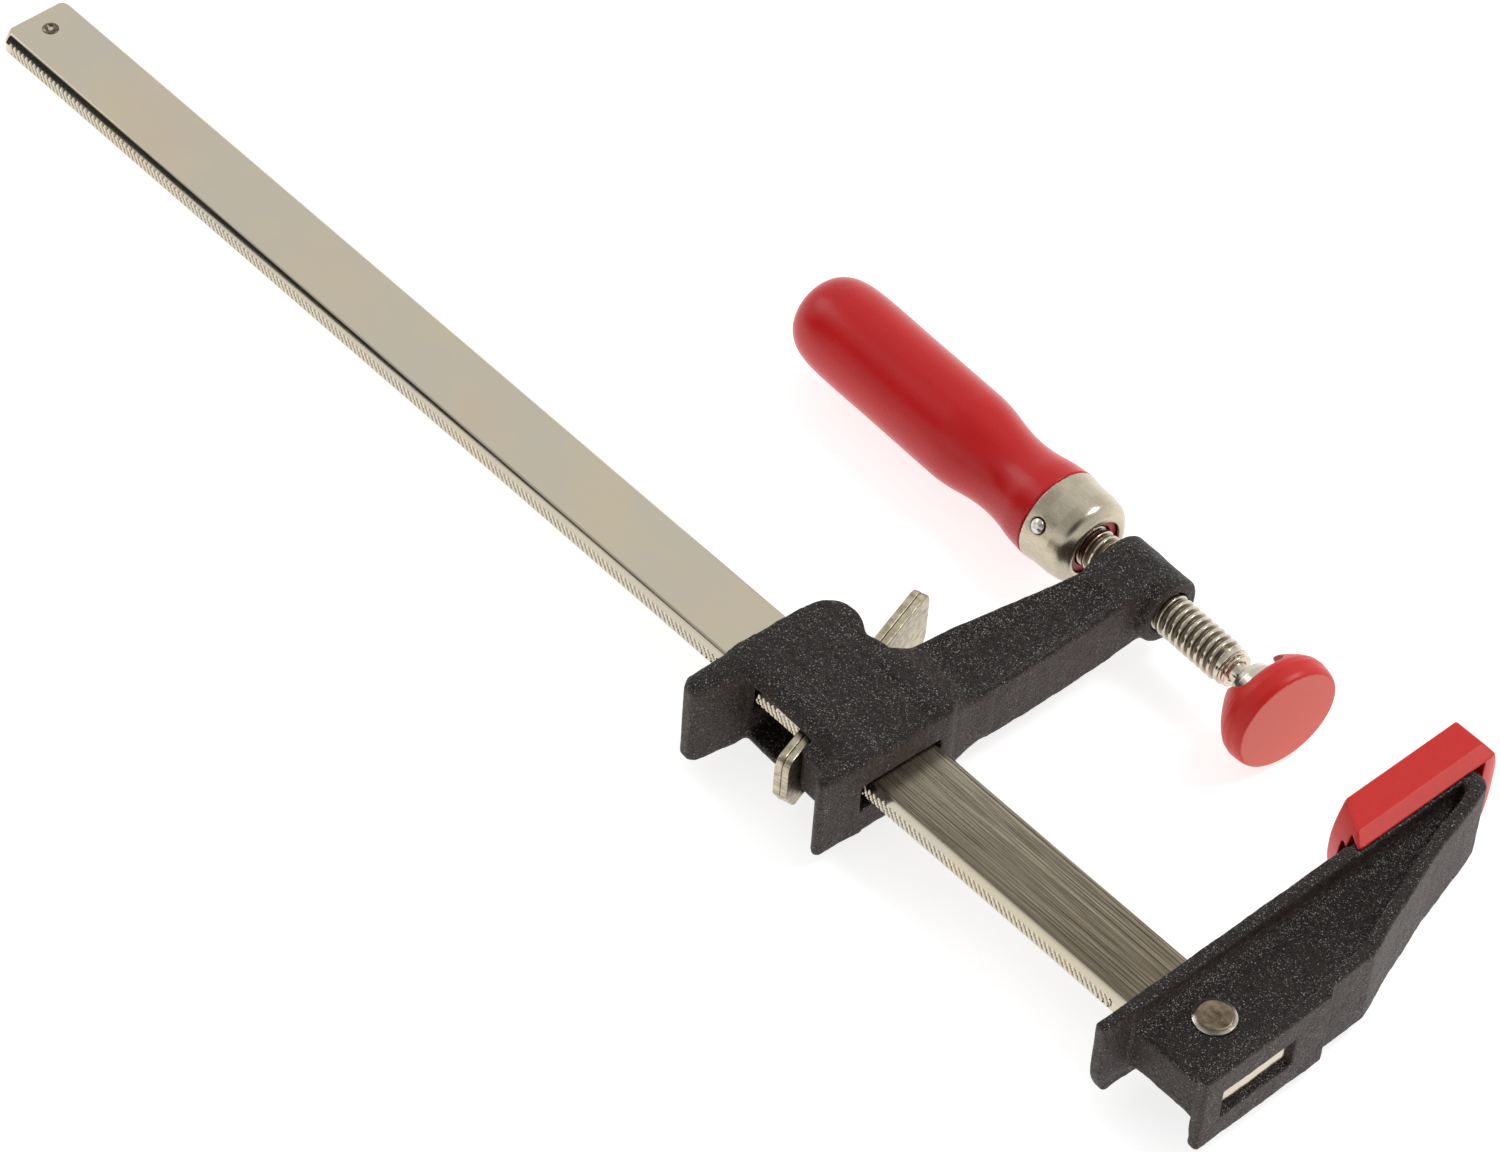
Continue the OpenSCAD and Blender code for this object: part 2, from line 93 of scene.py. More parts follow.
# ---------------------------------------------------------------- distance functions
def poly(X, Y, pts):
    pts = np.asarray(pts, float)
    d = np.full(np.broadcast(X, Y).shape, 1e18)
    s = np.ones_like(d)
    for i in range(len(pts)):
        a, b = pts[i], pts[i - 1]
        e = b - a
        if e @ e < 1e-12:
            continue
        wx, wy = X - a[0], Y - a[1]
        t = np.clip((wx * e[0] + wy * e[1]) / (e @ e), 0, 1)
        bx, by = wx - e[0] * t, wy - e[1] * t
        d = np.minimum(d, bx * bx + by * by)
        c1, c2, c3 = Y >= a[1], Y < b[1], e[0] * wy > e[1] * wx
        s = np.where((c1 & c2 & c3) | (~c1 & ~c2 & ~c3), -s, s)
    return s * np.sqrt(d)


def rounded(pts, n=5):
    """Polygon whose corners (x, y, r) are replaced by arcs."""
    out = []
    k = len(pts)
    for i in range(k):
        p, q, s = (np.array(pts[j % k][:2], float) for j in (i - 1, i, i + 1))
        r = pts[i][2] if len(pts[i]) > 2 else 0
        if r <= 0:
            out.append(q)
            continue
        a, b = (p - q) / np.linalg.norm(p - q), (s - q) / np.linalg.norm(s - q)
        c = np.clip(a @ b, -1, 1)
        h = math.acos(c) / 2
        t = min(r / math.tan(h), 0.48 * np.linalg.norm(p - q), 0.48 * np.linalg.norm(s - q))
        p0, p1 = q + a * t, q + b * t
        for m in range(n + 1):
            w = m / n
            out.append((1 - w) ** 2 * p0 + 2 * w * (1 - w) * q + w * w * p1)
    return np.array(out)


def smin(a, b, k):
    h = np.clip(0.5 + 0.5 * (b - a) / k, 0, 1)
    return b + (a - b) * h - k * h * (1 - h)


def smax(a, b, k):
    return -smin(-a, -b, k)


def ext(d, Z, h, r, z0=0.0):
    """Flat distance d made h thick either side of z0, with its edges rounded by r."""
    a = d + r
    b = np.abs(Z - z0) - h + r
    return np.minimum(np.maximum(a, b), 0) + np.sqrt(np.maximum(a, 0) ** 2 + np.maximum(b, 0) ** 2) - r


def brick(X, Y, Z, c0, c1, r):
    q = [np.abs(P - (c0[i] + c1[i]) / 2) - (c1[i] - c0[i]) / 2 + r for i, P in enumerate((X, Y, Z))]
    return np.minimum(np.maximum(np.maximum(q[0], q[1]), q[2]), 0) + np.sqrt(sum(np.maximum(v, 0) ** 2 for v in q)) - r


def ripple(X, Y, Z, s, seed=0.0):
    """Smooth repeatable unevenness, about -1 to 1, with features s across."""
    f = 1.0 / s
    return (np.sin(X * f * 2.1 + 1.3 + seed) * np.cos(Y * f * 1.7 - 0.4 * seed) * np.sin(Z * f * 1.9 + 0.7)
            + 0.6 * np.sin(X * f * 4.3 + Y * f * 2.9 + seed) * np.cos(Z * f * 3.7 + X * f * 1.1)
            + 0.4 * np.cos(Y * f * 6.1 - X * f * 3.3 + 2 * seed)) / 1.6


def nets(f, c0, c1, h):
    """Closed mesh of f = 0, from surface nets, with its points moved onto the surface."""
    c0 = np.array(c0, float)
    n = [int(math.ceil((c1[i] - c0[i]) / h)) + 1 for i in range(3)]
    X = (c0[0] + h * np.arange(n[0]))[:, None, None]
    Y = (c0[1] + h * np.arange(n[1]))[None, :, None]
    Z = (c0[2] + h * np.arange(n[2]))[None, None, :]
    D = np.broadcast_to(f(X, Y, Z), n).astype(np.float64)
    S = D < 0
    cnt = np.zeros([v - 1 for v in n], np.int8)
    sl = [(slice(0, -1), slice(1, None))[b] for b in (0, 1)]
    for a in (0, 1):
        for b in (0, 1):
            for c in (0, 1):
                cnt += S[sl[a], sl[b], sl[c]]
    I, K_, L = np.nonzero((cnt > 0) & (cnt < 8))
    idx = -np.ones(cnt.shape, np.int64)
    idx[I, K_, L] = np.arange(len(I))
    P = np.zeros((len(I), 3))
    w = np.zeros(len(I))
    for axis in range(3):
        for a in (0, 1):
            for b in (0, 1):
                o0 = [0, 0, 0]
                rest = [q for q in range(3) if q != axis]
                o0[rest[0]], o0[rest[1]] = a, b
                o1 = list(o0)
                o1[axis] = 1
                d0 = D[I + o0[0], K_ + o0[1], L + o0[2]]
                d1 = D[I + o1[0], K_ + o1[1], L + o1[2]]
                m = (d0 < 0) != (d1 < 0)
                t = np.where(m, d0 / np.where(m, d0 - d1, 1), 0)
                for q in range(3):
                    P[:, q] += m * (o0[q] + (t if q == axis else 0))
                w += m
    P = (P / w[:, None] + np.stack([I, K_, L], 1)) * h + c0
    quads = []
    for axis in range(3):
        u, v = [(1, 2), (2, 0), (0, 1)][axis]
        s0 = [slice(None)] * 3
        s1 = [slice(None)] * 3
        s0[axis], s1[axis] = slice(0, -1), slice(1, None)
        A, B = S[tuple(s0)], S[tuple(s1)]
        ch = np.stack(np.nonzero(A != B), 1)
        inside = A[ch[:, 0], ch[:, 1], ch[:, 2]]
        cells = []
        for du, dv in ((-1, -1), (0, -1), (0, 0), (-1, 0)):
            q = ch.copy()
            q[:, u] += du
            q[:, v] += dv
            cells.append(idx[q[:, 0], q[:, 1], q[:, 2]])
        q = np.stack(cells, 1)
        q[~inside] = q[~inside][:, ::-1]
        quads.append(q)
    F = np.concatenate(quads)
    e = 0.02
    for _ in range(4):
        x, y, z = P.T
        d = f(x, y, z)
        g = np.stack([f(x + e, y, z) - f(x - e, y, z), f(x, y + e, z) - f(x, y - e, z), f(x, y, z + e) - f(x, y, z - e)], 1) / (2 * e)
        g2 = np.maximum((g * g).sum(1), 0.15)
        P = P - np.clip((d / g2), -0.4 * h, 0.4 * h)[:, None] * g
    x, y, z = P.T
    N = g / np.maximum(np.linalg.norm(g, axis=1), 1e-9)[:, None]
    return P, F, N


def hollow(f, P, N, e):
    """How much a surface point lies in a hollow corner: 0 on a flat or an edge, towards 1 in a fillet."""
    q = P + N * e
    return np.clip((e - f(*q.T)) / e, 0, 1)


# ---------------------------------------------------------------- meshes
def piece(name, P, F, matrix, mat, body, stands_for, normals=None, attrs=None):
    M = np.array(matrix)
    P = np.asarray(P, float)
    W = (P @ M[:3, :3].T + M[:3, 3]) / 1000
    me = bpy.data.meshes.new(name)
    F = [tuple(int(v) for v in q) for q in F] if not isinstance(F, np.ndarray) else F.tolist()
    me.from_pydata(W.tolist(), [], F)
    for k, v in (attrs or {}).items():
        me.attributes.new(k, "FLOAT", "POINT").data.foreach_set("value", np.asarray(v, np.float32))
    me.polygons.foreach_set("use_smooth", [True] * len(me.polygons))
    me.update()
    if normals is not None:
        R = M[:3, :3]
        me.normals_split_custom_set_from_vertices((np.asarray(normals) @ R.T).tolist())
    me.materials.append(mat)
    ob = bpy.data.objects.new(name, me)
    bpy.context.scene.collection.objects.link(ob)
    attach(ob, body)
    for n in stands_for:
        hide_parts(n)
    return ob


def from_sdf(name, f, c0, c1, h, matrix, mat, body, stands_for, attr_e=None):
    P, F, N = nets(f, c0, c1, h)
    a = {"hollow": hollow(f, P, N, attr_e)} if attr_e else None
    return piece(name, P, F, matrix, mat, body, stands_for, N, a)


def smooth_profile(pts, step):
    """Points along a centripetal Catmull-Rom curve; a repeated point makes a sharp corner."""
    runs, cur = [], [pts[0]]
    for p in pts[1:]:
        if p == cur[-1]:
            runs.append(cur)
            cur = [p]
        else:
            cur.append(p)
    runs.append(cur)
    out = []
    for run in runs:
        a = np.array(run, float)
        if len(a) < 2:
            continue
        if len(a) == 2:
            n = max(1, int(np.linalg.norm(a[1] - a[0]) / (step * 4)))
            out.append(a[0] + (a[1] - a[0]) * np.linspace(0, 1, n + 1)[:, None])
            continue
        e = np.vstack([2 * a[0] - a[1], a, 2 * a[-1] - a[-2]])
        for i in range(1, len(e) - 2):
            p0, p1, p2, p3 = e[i - 1:i + 3]
            t = [0.0]
            for q, r in ((p0, p1), (p1, p2), (p2, p3)):
                t.append(t[-1] + max(np.linalg.norm(r - q), 1e-6) ** 0.5)
            n = max(2, int(np.linalg.norm(p2 - p1) / step))
            s = np.linspace(t[1], t[2], n + 1)[:, None]
            A1 = (t[1] - s) / (t[1] - t[0]) * p0 + (s - t[0]) / (t[1] - t[0]) * p1
            A2 = (t[2] - s) / (t[2] - t[1]) * p1 + (s - t[1]) / (t[2] - t[1]) * p2
            A3 = (t[3] - s) / (t[3] - t[2]) * p2 + (s - t[2]) / (t[3] - t[2]) * p3
            B1 = (t[2] - s) / (t[2] - t[0]) * A1 + (s - t[0]) / (t[2] - t[0]) * A2
            B2 = (t[3] - s) / (t[3] - t[1]) * A2 + (s - t[1]) / (t[3] - t[1]) * A3
            out.append((t[2] - s) / (t[2] - t[1]) * B1 + (s - t[1]) / (t[2] - t[1]) * B2)
    a = np.vstack(out)
    keep = [0]
    for i in range(1, len(a)):
        if np.linalg.norm(a[i] - a[keep[-1]]) > 1e-4:
            keep.append(i)
    a = a[keep]
    a[:, 0] = np.maximum(a[:, 0], 0)
    return a


def revolve(prof, seg, radius=None):
    """Surface of revolution of (r, z) points about Z. Points with r = 0 become a pole. radius(r, z, angle) may change r."""
    P, F, rows = [], [], []
    th = 2 * math.pi * np.arange(seg) / seg
    for r, z in prof:
        if r < 1e-6:
            rows.append([len(P)])
            P.append((0, 0, z))
        else:
            rr = np.full(seg, r) if radius is None else radius(r, z, th)
            rows.append(list(range(len(P), len(P) + seg)))
            P += [(rr[i] * math.cos(th[i]), rr[i] * math.sin(th[i]), z) for i in range(seg)]
    for a, b in zip(rows[:-1], rows[1:]):
        for i in range(seg):
            j = (i + 1) % seg
            if len(a) == 1 and len(b) == 1:
                continue
            if len(a) == 1:
                F.append((a[0], b[j], b[i]))
            elif len(b) == 1:
                F.append((a[i], a[j], b[0]))
            else:
                F.append((a[i], a[j], b[j], b[i]))
    return np.array(P), F


# ---------------------------------------------------------------- materials
def rgb(r, g, b):
    return tuple((v / 12.92 if v <= 0.04045 else ((v + 0.055) / 1.055) ** 2.4) for v in (r / 255, g / 255, b / 255)) + (1,)


class Mat:
    def __init__(self, name):
        self.m = bpy.data.materials.new(name)
        self.m.use_nodes = True
        self.t = self.m.node_tree
        self.t.nodes.clear()
        self.out = self.node("ShaderNodeOutputMaterial")
        self.b = self.node("ShaderNodeBsdfPrincipled")
        self.t.links.new(self.b.outputs[0], self.out.inputs[0])
        self.co = self.node("ShaderNodeTexCoord").outputs["Object"]

    def node(self, kind, **kw):
        n = self.t.nodes.new(kind)
        for k, v in kw.items():
            setattr(n, k, v)
        return n

    def put(self, sock, v):
        if isinstance(v, bpy.types.NodeSocket):
            self.t.links.new(v, sock)
        else:
            sock.default_value = v

    def set(self, **kw):
        for k, v in kw.items():
            self.put(self.b.inputs[k.replace("_", " ")], v)

    def scaled(self, x, y, z, rot=(0, 0, 0)):
        n = self.node("ShaderNodeMapping")
        n.inputs["Rotation"].default_value = rot
        n.inputs["Scale"].default_value = (x, y, z)
        self.put(n.inputs["Vector"], self.co)
        return n.outputs[0]

    def noise(self, scale, vec=None, detail=2.0, rough=0.5, dist=0.0):
        n = self.node("ShaderNodeTexNoise")
        self.put(n.inputs["Vector"], self.co if vec is None else vec)
        for k, v in (("Scale", scale), ("Detail", detail), ("Roughness", rough), ("Distortion", dist)):
            n.inputs[k].default_value = v
        return n.outputs["Fac"]

    def voronoi(self, scale, vec=None, feature="F1", out="Distance", rand=1.0):
        n = self.node("ShaderNodeTexVoronoi", feature=feature)
        self.put(n.inputs["Vector"], self.co if vec is None else vec)
        n.inputs["Scale"].default_value = scale
        n.inputs["Randomness"].default_value = rand
        return n.outputs[out]

    def math(self, op, a, b=0.0, c=0.0):
        n = self.node("ShaderNodeMath", operation=op)
        for i, v in enumerate((a, b, c)):
            self.put(n.inputs[i], v)
        return n.outputs[0]

    def span(self, v, a0, a1, b0=0.0, b1=1.0):
        n = self.node("ShaderNodeMapRange", clamp=True)
        for k, x in (("Value", v), ("From Min", a0), ("From Max", a1), ("To Min", b0), ("To Max", b1)):
            self.put(n.inputs[k], x)
        return n.outputs[0]

    def mix(self, fac, a, b):
        n = self.node("ShaderNodeMix", data_type="RGBA")
        self.put(n.inputs[0], fac)
        self.put(n.inputs[6], a)
        self.put(n.inputs[7], b)
        return n.outputs[2]

    def attr(self, name):
        return self.node("ShaderNodeAttribute", attribute_name=name).outputs["Fac"]

    def axis(self, i, vec=None):
        n = self.node("ShaderNodeSeparateXYZ")
        self.put(n.inputs[0], self.co if vec is None else vec)
        return n.outputs[i]

    def facing(self, blend=0.5):
        n = self.node("ShaderNodeLayerWeight")
        n.inputs["Blend"].default_value = blend
        return n.outputs["Facing"]

    def bump(self, *layers):
        """layers: (height socket, distance in metres, strength)"""
        prev = None
        for h, dist, s in layers:
            n = self.node("ShaderNodeBump")
            self.put(n.inputs["Height"], h)
            n.inputs["Distance"].default_value = dist
            n.inputs["Strength"].default_value = s
            if prev is not None:
                self.t.links.new(prev, n.inputs["Normal"])
            prev = n.outputs[0]
        self.put(self.b.inputs["Normal"], prev)


def cast_coat():
    m = Mat("cast_coat")
    hol = m.attr("hollow")
    big = m.noise(140, detail=3)
    mid = m.noise(750, detail=3, rough=0.6)
    grain = m.noise(2600, detail=3, rough=0.65)
    # Voronoi cells that place the painted glints
    cells = []
    for scale, lo, hi in ((2100, 0.16, 0.42), (3600, 0.2, 0.5)):
        cell = m.node("ShaderNodeTexVoronoi", feature="F1")
        m.put(cell.inputs["Vector"], m.co)
        cell.inputs["Scale"].default_value = scale
        size = m.span(m.axis(1, cell.outputs["Color"]), 0, 1, lo, hi)
        cells.append((m.axis(0, cell.outputs["Color"]), m.span(m.math("SUBTRACT", size, cell.outputs["Distance"]), 0.0, 0.12)))
    geo = m.node("ShaderNodeNewGeometry")
    # how much a face points up; it sets where the painted side light and the painted glints go
    up = m.span(m.axis(2, geo.outputs["Normal"]), 0.35, 0.9)
    # painted glints: pale specks in the base colour stand in for sparkle highlights; their density is higher on
    # up-facing faces and in fillets
    glint_density = m.math("ADD", m.span(hol, 0.04, 0.4, 0.0, 0.6), m.span(big, 0.35, 0.7, 0.16, 0.40))
    glint_density = m.math("MULTIPLY", glint_density, m.math("ADD", m.math("MULTIPLY", up, 0.65), 0.35))
    painted_glint = m.math("MAXIMUM", m.math("MULTIPLY", cells[0][1], m.math("LESS_THAN", cells[0][0], glint_density)),
                   m.math("MULTIPLY", cells[1][1], m.math("LESS_THAN", cells[1][0], m.math("MULTIPLY", glint_density, 0.8))))
    painted_glint = m.math("MULTIPLY", painted_glint, m.span(grain, 0.38, 0.62, 0.3, 1.0))
    sand = m.noise(1.0, m.scaled(3100, 3100, 3100), detail=2, rough=0.6)
    base = m.mix(m.span(mid, 0.35, 0.65), rgb(12, 9, 8), rgb(26, 21, 19))
    base = m.mix(m.span(sand, 0.50, 0.64, 0, 0.7), base, rgb(74, 67, 62))
    # painted light: faces that do not point up are painted a lighter brownish grey, standing in for the light that
    # falls on the side faces
    side = m.mix(m.span(sand, 0.40, 0.62), rgb(30, 24, 22), rgb(82, 71, 67))
    base = m.mix(m.math("SUBTRACT", 1.0, up), base, side)
    # the painted glints are mixed into the base colour here
    col = m.mix(m.math("MULTIPLY", painted_glint, 0.85), base, rgb(188, 184, 182))
    m.set(Base_Color=col, Roughness=m.span(grain, 0.3, 0.7, 0.34, 0.66))
    m.b.inputs["Specular IOR Level"].default_value = 0.24
    m.bump((m.noise(1150, detail=2), 0.0006, 0.7), (grain, 0.00028, 0.9))
    return m.m


def rail_steel():
    m = Mat("rail_steel")
    x = m.axis(0)
    y = m.axis(1)
    z = m.axis(2)
    worn = m.span(x, -0.088, -0.070)                          # the stretch between the arm and the jaw
    late = m.span(x, -0.070, -0.004)
    near = m.span(y, -0.071, -0.083)
    tint = m.noise(46, m.scaled(0.7, 1.3, 1.0), detail=4, rough=0.6)
    tint2 = m.noise(30, detail=3)
    line = m.noise(1.0, m.scaled(30, 5200, 5200, (0, 0, 0.10)), detail=3, rough=0.7)
    fine = m.noise(1.0, m.scaled(70, 9000, 9000), detail=2, rough=0.6)
    scr = m.noise(1.0, m.scaled(22, 2100, 2100, (0, 0, 0.14)), detail=4, rough=0.8)
    col = m.mix(m.span(tint, 0.38, 0.62), rgb(208, 200, 183), rgb(213, 202, 178))
    col = m.mix(m.span(tint2, 0.5, 0.68, 0, 0.3), col, rgb(213, 195, 176))
    col = m.mix(m.span(m.noise(75), 0.56, 0.72, 0, 0.25), col, rgb(200, 199, 193))
    dull = m.mix(late, rgb(190, 181, 162), rgb(152, 142, 124))
    dull = m.mix(m.math("MULTIPLY", near, 0.45), dull, rgb(96, 86, 68))
    dull = m.mix(m.span(scr, 0.40, 0.60), rgb(88, 79, 64), dull)
    dull = m.mix(m.span(line, 0.54, 0.70, 0, 0.6), dull, rgb(214, 205, 186))
    flat = m.span(m.math("ABSOLUTE", z), 0.0030, 0.0033)
    col = m.mix(m.math("MULTIPLY", worn, flat), col, dull)
    pit = m.voronoi(1300)
    pits = m.math("MULTIPLY", m.span(pit, 0.22, 0.12), m.span(m.noise(230), 0.50, 0.58))
    pits = m.math("MULTIPLY", pits, m.math("MULTIPLY", m.span(x, -0.086, -0.078), m.span(x, -0.03, -0.055)))
    col = m.mix(m.math("MULTIPLY", pits, 0.85), col, rgb(40, 32, 26))
    # painted shade: the tooth grooves (depth attribute) are painted dark brown where shade falls in them
    deep = m.attr("depth")
    col = m.mix(m.math("MULTIPLY", m.span(deep, 0.15, 0.8), 0.9), col, rgb(52, 44, 34))
    rough = m.math("ADD", m.span(fine, 0.3, 0.7, 0.07, 0.13), m.math("MULTIPLY", m.math("MULTIPLY", worn, flat), 0.16))
    m.set(Base_Color=col, Metallic=1.0, Roughness=rough)
    m.bump((line, 0.00001, 0.25), (fine, 0.000006, 0.25))
    return m.m


def steel(name, c0, c1, r0, r1, scale=700, stretch=(1, 1, 1), bump=0.00002, depth_painted_light=None, coat=0.0):
    m = Mat(name)
    v = m.scaled(*stretch)
    n = m.noise(scale, v, detail=3, rough=0.6)
    f = m.noise(scale * 5, v, detail=2)
    col = m.mix(m.span(n, 0.35, 0.65), rgb(*c0), rgb(*c1))
    rough = m.span(f, 0.3, 0.7, r0, r1)
    # painted light keyed to the depth attribute: shade in the screw's thread roots, a highlight round the rivet rim
    if depth_painted_light:
        g = m.attr("depth")
        col = m.mix(m.math("MULTIPLY", g, depth_painted_light[1]), col, rgb(*depth_painted_light[0]))
        rough = m.math("ADD", rough, m.math("MULTIPLY", g, depth_painted_light[2] if len(depth_painted_light) > 2 else 0.25))
    m.set(Base_Color=col, Metallic=1.0, Roughness=rough)
    m.bump((n, bump, 0.3), (f, bump * 0.4, 0.4))
    return m.m


def red_plastic(name, face_x=None):
    m = Mat(name)
    n = m.noise(420, detail=3)
    f = m.noise(5200, detail=2)
    col = m.mix(m.span(n, 0.3, 0.7), rgb(202, 32, 27), rgb(208, 38, 31))
    # painted sheen: the colour turns lighter coral towards grazing view angles, standing in for the reflection there
    edge = m.facing(0.3)
    col = m.mix(m.span(edge, 0.5, 0.95, 0, 0.5), col, rgb(222, 92, 80))
    if face_x is not None:
        col = m.mix(m.attr("face"), col, rgb(224, 106, 90))
    m.set(Base_Color=col, Roughness=m.span(f, 0.3, 0.7, 0.34, 0.46), Subsurface_Weight=0.08, Subsurface_Scale=0.0015)
    m.b.inputs["Subsurface Radius"].default_value = (1.0, 0.2, 0.12)
    m.b.inputs["Specular IOR Level"].default_value = 0.35
    m.bump((n, 0.00008, 0.12), (f, 0.00002, 0.3))
    return m.m


def lacquer():
    m = Mat("red_lacquer")
    grain = m.noise(1.0, m.scaled(40, 900, 900, (0, 0, -TH)), detail=4, rough=0.6)
    blot = m.noise(70, detail=2)
    col = m.mix(m.span(blot, 0.3, 0.7), rgb(190, 2, 9), rgb(198, 5, 12))
    col = m.mix(m.span(grain, 0.45, 0.8, 0, 0.3), col, rgb(166, 2, 7))
    m.set(Base_Color=col, Roughness=m.span(m.noise(3000, detail=2), 0.3, 0.7, 0.26, 0.36), Coat_Weight=0.12, Coat_Roughness=0.16)
    m.b.inputs["Specular IOR Level"].default_value = 0.34
    m.bump((grain, 0.00012, 0.2), (m.noise(240), 0.00025, 0.12), (m.noise(1100, detail=2), 0.00004, 0.2))
    return m.m


coat = cast_coat()
rail_mat = rail_steel()
nickel = steel("satin_nickel", (190, 180, 158), (204, 194, 174), 0.22, 0.32, 500, (1, 6, 6), 0.00003)
pin_mat = steel("pin_steel", (206, 204, 198), (224, 221, 214), 0.2, 0.3, 900)
# painted shade in the thread roots
screw_mat = steel("screw_steel", (206, 197, 178), (220, 212, 196), 0.1, 0.2, 800, (1, 1, 1), 0.00002, ((74, 58, 38), 0.8))
plate_mat = steel("worn_plate", (160, 150, 128), (206, 196, 172), 0.24, 0.42, 420, (1, 1, 2.5), 0.0001)
spring_mat = steel("spring_wire", (150, 148, 142), (170, 166, 158), 0.25, 0.35, 1200)
pad_mat = steel("pad_steel", (206, 200, 184), (214, 208, 194), 0.16, 0.26, 800)
# painted highlight: the rim is painted pale and glossier
rivet_mat = steel("rivet_steel", (84, 74, 60), (140, 127, 106), 0.24, 0.4, 520, (1, 1, 1), 0.00012, ((222, 216, 204), 0.95, -0.1))
red = red_plastic("red_cap")
red_pad = red_plastic("red_pad_cap", True)
wood = lacquer()

# ---------------------------------------------------------------- bar
CH_Y, BAND = 1.52, 1.37
PITCH = 1.5


def bar_section():
    """Points (side, y inset, z, tooth share) round the +Y edge from the top to the bottom."""
    c, b, t = CH_Y, BAND, BT
    L = math.hypot(c, t - b)
    sx, sz = c / L, (t - b) / L
    def cr(f):
        """A point on the slightly crowned chamfer, f from the top edge to the toothed band."""
        k = 0.07 * 4 * f * (1 - f)
        return ((1 - f) * (c - 0.1) + f * 0.16 - k * sz, (1 - f) * (t - 0.1 * sz / sx) + f * (b + 0.16 * sz / sx) + k * sx, 0)

    top = [(c + 0.6, t, 0), (c + 0.12, t, 0)] + [cr(f) for f in (0, 0.25, 0.5, 0.75, 1.0)] + [(0.02, b + 0.02, 0.6), (0, b * 0.72, 1), (0, b * 0.25, 1)]
    return top + [(y, -z, w) for y, z, w in top[::-1]]


def build_rail():
    sec = bar_section()
    xs = [BX0, BX0 + 0.12, BX0 + 0.35] + list(np.arange(BX0 + 0.5, BX0 + 3.0, 0.25)) + list(np.arange(BX0 + 3.0, BX1 - 0.3, 0.25)) + [BX1]
    xs = np.array(xs)
    rc = 2.2
    q = np.clip(rc - (xs - BX0), 0, rc)
    inset = rc - np.sqrt(np.maximum(rc * rc - q * q, 0))
    lip = np.where(xs < BX0 + 0.05, 0.3, np.where(xs < BX0 + 0.2, 0.1, 0.0))
    rows, deep = [], []
    for side in (1, -1):
        for (iy, z, tooth) in (sec if side > 0 else sec[::-1]):
            ph = np.mod((xs + 0.55 * z * side * -1) / PITCH, 1.0)
            cut = np.clip(1 - np.abs(ph - 0.5) / 0.34, 0, 1)
            cut = tooth * cut * cut * (3 - 2 * cut) * (xs > BX0 + 3.4) * (xs < 2)
            deep.append(cut)
            cut = 0.5 * cut
            y = side * (BH - iy - inset - cut - lip * (0.6 if abs(z) < BT - 0.01 else 0))
            zz = np.sign(z) * (np.abs(z) - lip * (abs(z) > 1.0))
            rows.append(np.stack([xs, y, zz], 1))
    G = np.stack(rows, 1)                       # station, point round the section, xyz
    ns, npt = G.shape[:2]
    P = G.reshape(-1, 3)
    F = []
    base = np.arange(ns - 1)[:, None] * npt
    k = np.arange(npt)
    k2 = (k + 1) % npt
    quad = np.stack([base + k, base + npt + k, base + npt + k2, base + k2], 2).reshape(-1, 4)
    F = quad.tolist()
    for s, row in ((0, 0), (1, ns - 1)):
        ring = [row * npt + i for i in range(npt)]
        P = np.vstack([P, P[ring].mean(0)])
        c = len(P) - 1
        for i in range(npt):
            a, b = ring[i], ring[(i + 1) % npt]
            F.append((c, a, b) if s == 0 else (c, b, a))
    return P, F, list(np.stack(deep, 1).reshape(-1)) + [0, 0]


# the tooth-cut depth goes to the mesh as the depth attribute, which rail_steel uses for painted shade in the grooves
P, F, dep = build_rail()
rail = piece("bar", P, F, JAW, rail_mat, "fixed", ["rail"], None, {"depth": dep})
mod = rail.modifiers.new("facets", "EDGE_SPLIT")
mod.split_angle = math.radians(24)


def profile_normals(prof):
    a = np.asarray(prof, float)
    d = a[1:] - a[:-1]
    L = np.linalg.norm(d, axis=1)
    n = np.stack([d[:, 1], -d[:, 0]], 1)        # length-weighted outward normals
    out = np.zeros_like(a)
    w = np.minimum(L, 3.0)[:, None] ** 1.5 / np.maximum(L, 1e-9)[:, None]
    out[:-1] += n * w
    out[1:] += n * w
    return out / np.maximum(np.linalg.norm(out, axis=1), 1e-9)[:, None]


def lathe(name, pts, seg, matrix, mat, body, stands_for, smooth=None, attrs=None):
    prof = np.array(smooth_profile(pts, smooth)) if smooth else np.array([q[:2] for q in rounded_open(pts)])
    P, F = revolve(prof, seg)
    n2 = profile_normals(prof)
    th = 2 * math.pi * np.arange(seg) / seg
    N = []
    for (r, z), n in zip(prof, n2):
        if r < 1e-6:
            N.append((0, 0, math.copysign(1, n[1])))
        else:
            N += [(n[0] * math.cos(t), n[0] * math.sin(t), n[1]) for t in th]
    a = {k: [f(math.hypot(p[0], p[1]), p[2]) for p in P] for k, f in (attrs or {}).items()}
    return piece(name, P, F, matrix, mat, body, stands_for, N, a)


def rounded_open(pts, n=5):
    out = []
    for i, p in enumerate(pts):
        r = p[2] if len(p) > 2 else 0
        if r <= 0 or i in (0, len(pts) - 1):
            out.append(np.array(p[:2], float))
            continue
        tri = rounded([pts[i - 1][:2], p, pts[i + 1][:2]], n)
        out += list(tri[1:-1])
    return out


